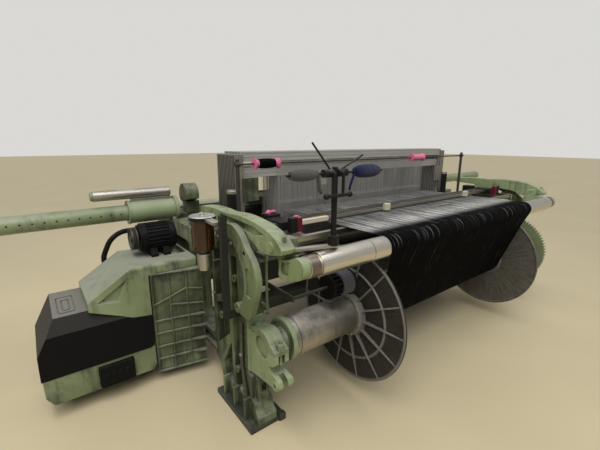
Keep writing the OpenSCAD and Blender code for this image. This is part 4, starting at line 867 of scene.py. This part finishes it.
def sheet_surface(name, path, half, finish, columns, relief, seed, outward=1.0):
    """Thin sheet across X: every column follows the path in the YZ plane, moved along the path's normal by a
    sum of sines over X that changes slowly along the path. UV is metres across and metres along."""
    waves = 14
    path = np.asarray(path)
    half = np.broadcast_to(np.asarray(half, dtype=float), (len(path),))[:, None]
    step = np.gradient(path, axis=0)
    normal = np.stack([-step[:, 1], step[:, 0]], axis=1)
    normal /= np.linalg.norm(normal, axis=1, keepdims=True)
    along = running_length(path)
    x = np.linspace(-1, 1, columns)[None] * half
    dice = np.random.default_rng(seed)
    ripple = np.zeros((len(path), columns))
    for _ in range(waves):
        pitch, phase, drift = dice.uniform(30, 420), dice.uniform(0, 6.28), dice.uniform(-2.5, 2.5)
        ripple += np.sin(pitch * x + phase + drift * along[:, None]) / waves
    lift = relief * ripple
    points = np.stack([x, path[:, :1] + normal[:, :1] * lift, path[:, 1:] + normal[:, 1:] * lift], axis=2)
    uv = np.stack(np.broadcast_arrays(x, along[:, None]), axis=2)
    piece = solid(name, (points, grid_faces(len(path), columns)), finish, uv, smooth=True)
    wall = piece.modifiers.new("thickness", "SOLIDIFY")
    wall.thickness, wall.offset = SOFT_THICK, outward
    return piece, along[-1]


class LOOM_OT_warp(bpy.types.Operator):
    """Lays the warp from the beam over the whip roller to the harness"""
    bl_idname = "loom.warp"
    bl_label = "Warp sheet"

    def execute(self, context):
        beam, roller = (BEAM_Y, BEAM_Z), (ROLLER_Y, ROLLER_Z)
        beam_r, roller_r = WOUND_R + 0.0010, ROLLER_R + 0.0010
        leave = tangent_angle(beam, beam_r, roller, roller_r)
        top = math.radians(92)
        harness = (HARNESS_BACK, WARP_LINE + 0.0028)
        rise = np.concatenate([
            arc_points(beam, beam_r, leave + math.radians(100), leave, 30),
            belt_points(beam, beam_r, roller, roller_r, leave, 60),
            arc_points(roller, roller_r, leave, top, 26)])
        run = np.concatenate([
            arc_points(roller, roller_r, top, math.radians(90), 3),
            line_points((ROLLER_Y, ROLLER_Z + roller_r), harness, 110), [harness]])
        half = np.interp(rise[:, 1], [BEAM_Z + 0.86 * DISC_R, ROLLER_Z],
                         [WARP_HALF - 0.001, REED_HALF - 0.001])
        down, length = sheet_surface("warp_down_to_beam", rise, half, "warp_bend", 420, 0.0009, 3)
        BEAM_Z + WOUND_R
        ROLLER_Z - 0.02
        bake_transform(down)
        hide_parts("warp_sheet")
        over, length = sheet_surface("warp_over_rails", run, REED_HALF - 0.001, "warp_flat", 420, 0.0006, 8)
        ROLLER_Y + 0.02
        ROLLER_Y + 0.28
        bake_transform(over)
        self.barrel()
        self.shed()
        return {"FINISHED"}

    def barrel(self):
        """Yarn on the barrel: a radius that ripples over X, so single turns show, and falls off at both
        ends."""
        x = np.linspace(-WARP_HALF + 0.001, WARP_HALF - 0.001, 360)
        radius = WOUND_R + (0.0007 * np.sin(x * 210) * np.sin(x * 37 + 1) - 0.0008)
        radius[[0, -1]] = WOUND_R - 0.008
        radius[[1, -2]] = WOUND_R - 0.002
        profile = np.stack([x, radius], axis=1)
        wound("wound_warp", "black_yarn", "beam", profile, (BEAM_Y, BEAM_Z), WOUND_R, 96, "black_yarn",
              "warp_winding")

    def shed(self):
        """Threads of the open shed as flat ribbons: two sheets of narrow strips from the harness to the
        fell."""
        pitch = sizes().dent_pitch
        x = np.arange(-REED_HALF + 0.007, REED_HALF - 0.006, pitch)[:, None, None, None]
        rise = (THREADS_HIGH[2] - THREADS_LOW[2]) / 2 - 0.0016
        strips = []
        for side in (-1, 1):
            z = np.array([WARP_LINE + side * rise, WARP_LINE - 0.0002 + side * 0.0004])
            points = np.zeros((len(x), 2, 2, 2, 3))
            points[..., 0] = x + np.array([-pitch * 0.26, pitch * 0.26])[None, :, None, None]
            points[..., 1] = np.array([HARNESS_FRONT, FELL_Y])[None, None, :, None]
            points[..., 2] = z[None, None, :, None] + np.array([-0.0003, 0.0003])[None, None, None, :]
            strips.append((points, block_faces(len(x))))
        shape = join_shapes(strips)
        piece = solid("shed_threads_fine", shape, "black_yarn", shape[0][:, :2])
        settle(piece, MACHINE, "black_yarn", "shed_threads")


class LOOM_OT_healds(bpy.types.Operator):
    """Builds the heald frames with beaded rails and hangs many thin healds in each"""
    bl_idname = "loom.healds"
    bl_label = "Heald frames"

    def execute(self, context):
        for number in range(1, 5):
            node = f"heald_group_{number}"
            low, high = span(node)
            depths = np.linspace(low[1] + FRAME_HALF, high[1] - FRAME_HALF, 3)
            self.rails(node, low, high, depths)
            self.wires(node, low, high, depths, number)
        return {"FINISHED"}

    def rails(self, node, low, high, depths):
        """Each rail is a plate with three beads along it, and a stay closes both ends of the frame."""
        stay, boxes = 0.022, []
        for y in depths:
            long, deep = (low[0], high[0]), about(y, FRAME_HALF)
            for z0, z1 in ((low[2], low[2] + RAIL_HIGH), (high[2] - RAIL_HIGH, high[2])):
                boxes.append(bars(long, about(y, 0.0030), (z0 + 0.002, z1 - 0.002)))
                for bead in ((z0, z0 + 0.011), (z1 - 0.011, z1), (z0 + 0.028, z0 + 0.033)):
                    boxes.append(bars(long, deep, bead))
            inside = about(y, FRAME_HALF - 0.0003)
            for x0 in (low[0], high[0] - stay):
                boxes.append(bars((x0, x0 + stay), inside, (low[2] + 0.003, high[2] - 0.003)))
        piece = round_edges(solid(node + "_rails", blocks(*boxes), "rail_alloy"), 0.0008, 1)
        settle(piece, BODY_OF[node], "rail_alloy", node)

    def wires(self, node, low, high, depths, number):
        """Flat healds side by side, each a little off its place, with an eye in the middle."""
        pitch = sizes().heald_pitch
        dice = np.random.default_rng(40 + number)
        middle = (low[2] + high[2]) / 2
        boxes = []
        for row, y in enumerate(depths):
            x = np.arange(-REED_HALF, REED_HALF - pitch, pitch) + pitch * (row + number / 4) / 3
            x = x + dice.uniform(-0.25, 0.25, len(x)) * pitch
            boxes += [bars(about(x, 0.0006), about(y, 0.0010), (low[2] + 0.058, high[2] - 0.058)),
                      bars(about(x, 0.0014), about(y, 0.0013), about(middle, 0.011))]
        settle(solid(f"thin_healds_{number}", blocks(*boxes), "wire_steel"), BODY_OF[node], "steel")


class LOOM_OT_reed(bpy.types.Operator):
    """Fills the reed with dents between its two rails"""
    bl_idname = "loom.reed"
    bl_label = "Reed"

    def execute(self, context):
        low, high = span("reed")
        pitch, rail, end = sizes().dent_pitch, 0.018, REED_HALF + 0.006
        x = np.arange(-REED_HALF, REED_HALF + pitch / 2, pitch)
        long, deep, tall = zip(low, high)
        shape = blocks(
            bars(about(x, 0.0004), (high[1] - 0.0065, high[1] - 0.0005), (low[2] + 0.015, high[2] - 0.015)),
            bars(long, deep, (low[2], low[2] + rail)), bars(long, deep, (high[2] - rail, high[2])),
            bars((low[0], -end), deep, tall), bars((end, high[0]), deep, tall))
        settle(solid("reed_dents", shape, "steel"), "sley_swing", "steel", "reed")
        return {"FINISHED"}


class LOOM_OT_drop_wires(bpy.types.Operator):
    """Stands rows of thin drop wires on the warp between the stop bars"""
    bl_idname = "loom.drop_wires"
    bl_label = "Drop wires"

    def execute(self, context):
        low, high = span("drop_wires")
        pitch = sizes().wire_pitch
        x = np.arange(low[0], high[0] - pitch, pitch)
        dice = np.random.default_rng(11)
        boxes = []
        for y in np.linspace(low[1] + 0.002, high[1] - 0.002, 9):
            start = x + dice.uniform(-0.0018, 0.0018, len(x))
            top = high[2] + dice.uniform(-0.007, 0.0, len(x))
            boxes.append(bars((start, start + 0.0009), about(y, 0.0012), (low[2] + 0.0005, top)))
        settle(solid("drop_wire_rows", blocks(*boxes), "steel"), MACHINE, "dark_steel", "drop_wires")
        return {"FINISHED"}


class LOOM_OT_cloth(bpy.types.Operator):
    """Leads the woven cloth over the breast beam and the take-up roller onto the cloth roller"""
    bl_idname = "loom.cloth"
    bl_label = "Cloth"

    def execute(self, context):
        gap, breast_r = 0.0008, 0.04
        rollers = map(round_of, ("takeup_roller", "press_roller", "cloth_roller"))
        (takeup, takeup_r), (press, press_r), (roll, outer) = rollers
        low, high = span("breast_beam")
        breast = np.array([(low[1] + high[1]) / 2, high[2] - breast_r])
        breast_r, takeup_r, press_r, roll_r = breast_r + gap, takeup_r + gap, press_r + gap, outer + gap
        front = tangent_angle(breast, breast_r, takeup, takeup_r)
        nip = math.atan2(*(press - takeup)[::-1])
        drop = roll - press
        leave = math.atan2(drop[1], drop[0]) + 1.5 * math.pi + math.asin((press_r - roll_r) / np.hypot(*drop))
        path = np.concatenate([
            [[FELL_Y, WARP_LINE]], line_points((FELL_Y, WARP_LINE), (breast[0], breast[1] + breast_r), 30),
            arc_points(breast, breast_r, math.pi / 2, front, 16),
            belt_points(breast, breast_r, takeup, takeup_r, front, 24),
            arc_points(takeup, takeup_r, front, nip + 0.02, 30),
            arc_points(press, press_r, nip + math.pi, leave, 26),
            belt_points(press, press_r, roll, roll_r, leave, 40),
            arc_points(roll, roll_r, leave, leave + 1.0, 14)])
        half = frame["nodes"]["cloth_web"].dimensions[0] / 2
        web, length = sheet_surface("cloth_on_breast_beam", path, half, "dark_cloth", 200, 0.0005, 21, 0.0)
        settle(web, MACHINE, "dark_cloth", "cloth_web")
        self.roll(roll, outer, half, -span("cloth_roller")[0][0])
        return {"FINISHED"}

    def roll(self, axis, outer, half, end):
        """Cloth roll: the face ripples slightly round and along, and each end steps in and out ring by
        ring."""
        count = 26
        rings = np.linspace(0.05, outer - 0.003, count)
        stagger = 0.0025 * np.sin(np.arange(count) * 2.4)
        side = np.stack([half - 0.004 - stagger, rings], axis=1)
        x = np.linspace(-half, half, 60)
        face = np.stack([x, outer - 0.0015 + 0.0012 * np.sin(x * 9)], axis=1)
        profile = np.concatenate([side * (-1, 1), face, side[::-1]])
        wound("cloth_roll_wound", "dark_cloth", "cloth_roll", profile, axis, outer, 96, "dark_cloth",
              "cloth_roller", hard=40)
        thin, thick, step = 0.0219, 0.046, end - 0.13
        profile = [[-end, 0.0001], [-end, thin], [-step, thin], [-step, thick], [step, thick], [step, thin],
                   [end, thin], [end, 0.0001]]
        lathe("cloth_roll_core", "dark_steel", "cloth_roll", [(profile, (0, *axis), "X", 40)], "dark_steel")


HOSE_ROUTE = [
    [-1.6404, 0.330, 0.888], [-1.680, 0.330, 0.888], [-1.724, 0.336, 0.888], [-1.770, 0.344, 0.882],
    [-1.812, 0.349, 0.862], [-1.848, 0.350, 0.828], [-1.872, 0.350, 0.784], [-1.892, 0.3474, 0.735],
    [-1.894, 0.3424, 0.690], [-1.891, 0.3384, 0.650], [-1.886, 0.3304, 0.618], [-1.882, 0.3184, 0.603],
    [-1.880, 0.3044, 0.600], [-1.880, 0.2904, 0.600],
]


class LOOM_OT_hose(bpy.types.Operator):
    """Runs the corrugated hose from the motor into the drive housing"""
    bl_idname = "loom.hose"
    bl_label = "Hose"

    def execute(self, context):
        centre = smooth_path(HOSE_ROUTE, 24)
        along = running_length(centre)
        length, ribs = along[-1], sizes().hose_ribs
        even = np.linspace(0, length, ribs * 6 + 1)
        route = np.stack([np.interp(even, along, centre[:, k]) for k in range(3)], axis=1)
        wave = 0.5 + 0.5 * np.cos(FULL_TURN * even / length * ribs)
        shape = tube_along(route, 0.0150 + 0.0022 * wave, 20)
        hose = solid("corrugated_hose", shape, "black_hose", smooth=True)
        settle(hose, MACHINE, "black_hose", "air_hose")
        return {"FINISHED"}


class LOOM_OT_spools(bpy.types.Operator):
    """Winds the yarn on the stand spools, the selvedge spool and the bobbins"""
    bl_idname = "loom.spools"
    bl_label = "Spools and bobbins"

    def execute(self, context):
        self.package("left_stand_spool", "grey_yarn", 0.55)
        self.package("right_stand_spool", "navy_yarn", 0.6)
        self.bobbin("left_bobbin", pink_yarn=(0.0, 1.0, 0.70), black_yarn=(0.16, 0.84, 0.92))
        self.bobbin("right_bobbin", pink_yarn=(0.0, 1.0, 0.80))
        return {"FINISHED"}

    def package(self, node, finish, bulge):
        """Barrel-shaped yarn package: radius r (1 - (1 - bulge) |2t - 1| to the power 3.2), with a lumpy
        wind."""
        bore, shoulder = 0.0052, 0.016
        (low, high), (axis, outer) = span(node), round_of(node)
        t = np.linspace(0, 1, 70)
        shape = outer * (1 - (1 - bulge) * np.abs(2 * t - 1) ** 3.2)
        shape *= 0.985 + 0.015 * np.sin(t * 41) * np.sin(t * 13)
        x = low[0] + (high[0] - low[0]) * (0.04 + 0.92 * t)
        first, last = x[0] - 0.002, x[-1] + 0.002
        profile = np.concatenate([[[first, bore], [first, shoulder]], np.stack([x, shape], axis=1),
                                  [[last, shoulder], [last, bore]]])
        wound(finish + "_spool", finish, BODY_OF[node], profile, axis, outer, 64, finish, node, hard=50)

    def bobbin(self, node, **windings):
        """Bobbin of yarn windings, each from a start to a stop along it and with its share of the outer
        radius. The radius falls off to both ends by |2t - 1| cubed, and the pink winding has a rim at each
        end."""
        bore = 0.0062
        (low, high), (axis, outer) = span(node), round_of(node)
        for finish, (start, stop, share) in windings.items():
            t = np.linspace(0, 1, 40)
            radius = outer * share * (1 - 0.16 * np.abs(2 * t - 1) ** 3) * (0.99 + 0.01 * np.sin(t * 60))
            x = low[0] + (high[0] - low[0]) * (start + (stop - start) * t)
            body = np.stack([x, radius], axis=1)
            starts, ends, nodes = [[x[0], bore]], [[x[-1], bore]], ()
            if finish == "pink_yarn":
                body, nodes = body[4:-4], (node,)
                rim = [(0.0, bore), (0.0, outer), (0.006, outer), (0.009, outer * 0.8)]
                starts = [[low[0] + inset, r] for inset, r in rim]
                ends = [[high[0] - inset, r] for inset, r in rim[::-1]]
            profile = np.concatenate([starts, body, ends])
            wound(f"{node}_{finish}", finish, BODY_OF[node], profile, axis, outer, 56, finish, *nodes,
                  hard=50)


BOTH_BLOCKS = ((-0.7292, -0.6948), (1.004, 1.0812))
# Blocks with rounded edges: name, finish, rounding, stretches along X, then one along Y and one along Z
SMALL_BLOCKS = (
    ("maroon_blocks", "maroon", 0.002, [(-1.126, -1.0988), (1.0988, 1.126)], *BOTH_BLOCKS),
    ("block_backs", "hub_black", 0.002, [(-1.1712, -1.126), (1.126, 1.1712)], *BOTH_BLOCKS),
    ("bar_ends", "hub_black", 0.004, [(-1.196, -1.108), (1.108, 1.196)], (-0.662, -0.526), (1.004, 1.052)),
    ("switch_blocks", "hub_black", 0.002, [(-1.1712, -1.0888), (1.0888, 1.1712)], (-0.5112, -0.4288),
     (1.004, 1.0632)),
    ("cream_boxes", "cream", 0.002, [(-0.3412, -0.2968), (0.6888, 0.7332)], (-0.6692, -0.6408),
     (1.0188, 1.0632)),
    ("beige_bar", "cream", 0.002, [(-1.0852, -0.8588)], (-0.6692, -0.6408), (1.0208, 1.0472)),
    ("plate_face", "frame_paint", 0.002, [(-1.1352, -1.0208)], (-0.1612, -0.152), (1.0868, 1.2392)),
)
ROD_STRAPS = (
    "rod_straps", "lid_alloy", 0.001, [(-1.69, -1.44), (1.44, 1.69)], (0.350, 0.398), (1.0838, 1.0925),
)
# Loose ends of yarn: route, radius, finish
TAILS = {
    "grey_tail": ([[-1.290, -1.060, 1.352], [-1.283, -1.064, 1.330], [-1.279, -1.066, 1.302],
                   [-1.274, -1.064, 1.276], [-1.262, -1.062, 1.262]], 0.0075, "grey_yarn"),
    "navy_tail": ([[-1.070, -1.060, 1.336], [-1.082, -1.064, 1.312], [-1.097, -1.066, 1.286],
                   [-1.104, -1.066, 1.262]], 0.0055, "navy_yarn"),
}
BOLT_SPOTS = (
    (-0.640, 0.985), (-0.560, 0.985), (-0.480, 0.985), (-0.695, 0.400), (-0.695, 0.200), (-0.630, 0.590),
    (-0.560, 0.400), (-0.400, 0.640), (0.500, 0.900), (0.560, 0.900), (0.600, 0.500), (0.700, 0.200),
)


class LOOM_OT_details(bpy.types.Operator):
    """Adds the small pieces: stop motion ends, boxes, strips, fluff, bolts, roller rings and yarn tails"""
    bl_idname = "loom.details"
    bl_label = "Small pieces"

    def execute(self, context):
        for row in SMALL_BLOCKS:
            self.small_blocks(*row)
        self.strips()
        self.fluff()
        self.roller_rings()
        self.rods_and_bar()
        self.posts_and_lid()
        self.guide_slots()
        self.selvedge_yarn()
        self.bolts()
        self.tails()
        return {"FINISHED"}

    def small_blocks(self, name, finish, width, stretches, y, z):
        shape = blocks(*(bars(x, y, z) for x in stretches))
        settle(round_edges(solid(name, shape, finish), width, 2), MACHINE)

    def strips(self):
        """Two loose flat strips on the warp, turned a little and lying one on the other."""
        level, strips = WARP_LINE + 0.0075, []
        for x, y, turn, half in ((-0.005, -0.772, 0.10, 0.135), (0.135, -0.752, -0.03, 0.150)):
            points, faces = blocks(bars((-half, half), (-0.012, 0.012), (level, level + 0.004)))
            spun = points[:, 0] * math.cos(turn) - points[:, 1] * math.sin(turn)
            across = points[:, 0] * math.sin(turn) + points[:, 1] * math.cos(turn)
            strips.append((np.stack([spun + x, across + y, points[:, 2]], axis=1), faces))
            level += 0.0042
        settle(solid("loose_strips", join_shapes(strips), "steel"), MACHINE)

    def fluff(self):
        """Pink lumps on the left blocks of the stop motion."""
        lumps = [((-1.150 + 0.012 * k, -0.470 + 0.010 * (k % 3), 1.068 + 0.004 * (k % 2)),
                  (0.014, 0.012, 0.009), k) for k in range(5)]
        lumps.append(((-1.128, -0.712, 1.086), (0.016, 0.010, 0.007), 9))
        shape = join_shapes([blob(*lump) for lump in lumps])
        settle(solid("pink_fluff", shape, "pink_yarn", shape[0][:, :2], smooth=True), MACHINE)

    def roller_rings(self):
        """Bronze end sleeves and a dark ring in the roller's groove, each a ring turned about the roller's
        axis."""
        place = ((0, ROLLER_Y, ROLLER_Z), "X", 96)
        ends = (-1.3465, -1.2970), (1.2970, 1.3465)
        lathe("roller_sleeves", "bronze", "roller", [(ring(*end, 0.0490, 0.0500), *place) for end in ends])
        lathe("roller_mark", "hub_black", "roller", [(ring(-0.9668, -0.9642, 0.0520, 0.0534), *place)])

    def rods_and_bar(self):
        """The bright round rod over each rapier sleeve, a shade thicker than the rod that it covers, the
        bright flat bar under the spool stand, a tapered plate, and the straps under the rods."""
        rods = []
        for x0, x1 in ((-1.910, -1.434), (1.434, 1.910)):
            profile = [[x0, 0.0002], [x0, 0.0300], [x0 + 0.0025, 0.0325], [x1 - 0.0025, 0.0325], [x1, 0.0300],
                       [x1, 0.0002]]
            rods.append((profile, (0, 0.378, 1.123), "X", 64))
        lathe("sleeve_rods", "lid_alloy", MACHINE, rods)
        outline = np.array([[-1.3648, -1.0212], [-1.1708, ROLLER_Y - 0.0144], [-1.1648, ROLLER_Y + 0.0184],
                            [-1.3648, -0.9888]])
        points = np.concatenate([np.column_stack([outline, np.full(4, z)]) for z in (1.0164, 1.0276)])
        faces = [[3, 2, 1, 0], [4, 5, 6, 7], [0, 1, 5, 4], [1, 2, 6, 5], [2, 3, 7, 6], [3, 0, 4, 7]]
        settle(solid("stand_flat_bar", (points, faces), "lid_alloy"), BODY_OF["spool_stand"])
        self.small_blocks(*ROD_STRAPS)

    def posts_and_lid(self):
        """Black canisters beside the harness with a light top, and the dark side of the oil lid, all turned
        about Z."""
        for name, finish, low, high in (("canisters", "hub_black", 0.932, 1.148),
                                        ("canister_tops", "lid_alloy", 1.148, 1.1672)):
            profile = [[low, 0.0002], [low, 0.0368], [high - 0.002, 0.0368], [high, 0.0350], [high, 0.0002]]
            places = [(x, HARNESS_BACK + 0.010, 0) for x in (-1.206, 1.206)]
            lathe(name, finish, MACHINE, [(profile, place, "Z", 48) for place in places])
        low, high = span("oil_bowl")
        top = span("oil_lid")[1][2] - 0.008
        profile = [[top - 0.0204, 0.055], [top - 0.0204, 0.0670], [top - 0.0180, 0.0678],
                   [top - 0.0045, 0.0678], [top - 0.0035, 0.055], [top - 0.0204, 0.055]]
        lathe("lid_side", "hub_black", BODY_OF["oil_lid"],
              [(profile, ((low[0] + high[0]) / 2, (low[1] + high[1]) / 2, 0), "Z", 64)])

    def guide_slots(self):
        """Dark strips on the outer faces of the harness guides, one for each heald frame: painted shade of
        the slots.
        """
        back, front = span("heald_group_1")[0][1] + FRAME_HALF, span("heald_group_4")[1][1] - FRAME_HALF
        depths = about(np.linspace(back, front, 12), FRAME_HALF)
        shape = blocks(*(bars((x, x + 0.0014), depths, (1.006, 1.379)) for x in (-1.1808, 1.1794)))
        settle(solid("guide_slots", shape, "hub_black"), MACHINE)

    def selvedge_yarn(self):
        """Yarn on the selvedge spool: a turned ring whose radius ripples from turn to turn."""
        outer, bore = 0.065, 0.0500
        t = np.linspace(0, 1, 44)
        x = span("selvedge_spool")[0][0] + 0.0675 + 0.073 * t
        radius = outer + 0.0012 * np.sin(t * 90) + 0.0012 * np.sin(t * 13)
        yarn = np.stack([x, radius], axis=1)
        profile = np.concatenate([[[x[0], bore]], yarn, [[x[-1], bore], [x[0], bore]]])
        wound("selvedge_winding", "selvedge_yarn", BODY_OF["selvedge_spool"], profile,
              round_of("selvedge_spool")[0], outer, 64, hard=50)

    def bolts(self):
        """Hexagon heads on the outer faces of the side frames."""
        x = span("right_side_frame")[1][0] - 0.006
        for name, side in (("frame_bolts_left", -1), ("frame_bolts_right", 1)):
            heads = hexagon_heads([(side * x, y, z) for y, z in BOLT_SPOTS], side, 0.010, 0.008)
            settle(solid(name, heads, "bolt_steel"), MACHINE)

    def tails(self):
        """Loose ends of yarn that hang from the two spools of the stand, as tubes along smooth curves."""
        sides = 12
        for name, (route, radius, finish) in TAILS.items():
            path = smooth_path(route, 10)
            along = running_length(path)
            across = np.tile(np.arange(sides) * 0.003, len(path) + 2)
            uv = np.stack([np.repeat([0, *along, along[-1]], sides), across], axis=1)
            piece = solid(name, tube_along(path, radius, sides), finish, uv, smooth=True)
            settle(piece, MACHINE)


class LOOM_OT_stage(bpy.types.Operator):
    """Sets the floor, the soft light and the camera of the photograph"""
    bl_idname = "loom.stage"
    bl_label = "Stage"

    def execute(self, context):
        reach = 40
        corners = [[-reach, -reach, 0], [reach, -reach, 0], [reach, reach, 0], [-reach, reach, 0]]
        solid("floor", (corners, [[0, 1, 2, 3]]), "floor")
        lens = bpy.data.cameras.new("camera")
        lens.lens, lens.sensor_width, lens.clip_end = 20.98, 36.0, 100.0
        heading = Matrix.Rotation(math.radians(-37.6), 4, "Z")
        tilt = Matrix.Rotation(math.radians(90 - 13.47), 4, "X") @ Matrix.Rotation(0.0041, 4, "Z")
        eye = self.hold(lens)
        eye.matrix_world = Matrix.Translation((-2.202, -2.140, 1.468)) @ heading @ tilt
        context.scene.camera = eye
        sun = bpy.data.lights.new("soft_sky", "SUN")
        sun.energy, sun.angle = 2.35, math.radians(55)
        self.hold(sun).rotation_euler = (math.radians(24), math.radians(-16), 0.0)
        self.lamp("ceiling_left", (-2.6, -1.2, 3.4), 5.0, (0.25, 0.0, 0.1))
        self.lamp("ceiling_middle", (0.3, -0.5, 3.4), 6.0, (0.0, 0.0, 0.0))
        self.world(context.scene)
        context.scene.view_settings.view_transform = "Standard"
        return {"FINISHED"}

    def hold(self, data):
        """The object of a camera or a light."""
        holder = bpy.data.objects.new(data.name, data)
        bpy.context.scene.collection.objects.link(holder)
        return holder

    def lamp(self, name, place, length, tilt):
        """A long lamp under the ceiling."""
        lamp = bpy.data.lights.new(name, "AREA")
        lamp.shape, lamp.size, lamp.size_y = "RECTANGLE", 0.5, length
        lamp.energy, lamp.color = 42, (1.0, 0.985, 0.95)
        holder = self.hold(lamp)
        holder.location, holder.rotation_euler = place, tilt

    def world(self, scene):
        """A soft grey room for light, and a pale one for the camera."""
        scene.world = bpy.data.worlds.new("hall")
        scene.world.use_nodes = True
        w = Wires(scene.world.node_tree)
        shade = w.tree.nodes["Background"]
        ray = w.add("ShaderNodeLightPath", out=None)
        seen = w.math("MAXIMUM", ray["Is Camera Ray"], ray["Is Transmission Ray"])
        room = w.mix(ray["Is Glossy Ray"], (0.25, 0.25, 0.245), (0.40, 0.40, 0.385))
        w.put(shade.inputs["Color"], w.mix(seen, room, (0.70, 0.69, 0.66)))
        shade.inputs["Strength"].default_value = 1.0


STEPS = ("stage", "castings", "warp", "healds", "reed", "drop_wires", "cloth", "hose", "spools", "details")


class LOOM_PT_panel(bpy.types.Panel):
    """Colours, sizes and steps of the loom"""
    bl_idname = "LOOM_PT_panel"
    bl_label = "Weaving loom"
    bl_space_type = "VIEW_3D"
    bl_region_type = "UI"
    bl_category = "Loom"

    def draw(self, context):
        for settings in (colours(), sizes()):
            for name in settings.__annotations__:
                self.layout.prop(settings, name)
        for step in ("cad_finishes", *STEPS):
            self.layout.operator("loom." + step)


CLASSES = (
    LoomColours, LoomSizes, LOOM_OT_cad_finishes, LOOM_OT_castings, LOOM_OT_warp, LOOM_OT_healds,
    LOOM_OT_reed, LOOM_OT_drop_wires, LOOM_OT_cloth, LOOM_OT_hose, LOOM_OT_spools, LOOM_OT_details,
    LOOM_OT_stage, LOOM_PT_panel,
)


def register():
    for cls in CLASSES:
        bpy.utils.register_class(cls)
    bpy.types.Scene.loom_colours = PointerProperty(type=LoomColours)
    bpy.types.Scene.loom_sizes = PointerProperty(type=LoomSizes)


def unregister():
    del bpy.types.Scene.loom_colours
    del bpy.types.Scene.loom_sizes
    for cls in reversed(CLASSES):
        bpy.utils.unregister_class(cls)


def main():
    register()
    bpy.ops.loom.cad_finishes()
    for step in STEPS:
        getattr(bpy.ops.loom, step)()


if __name__ == "__main__":
    main()
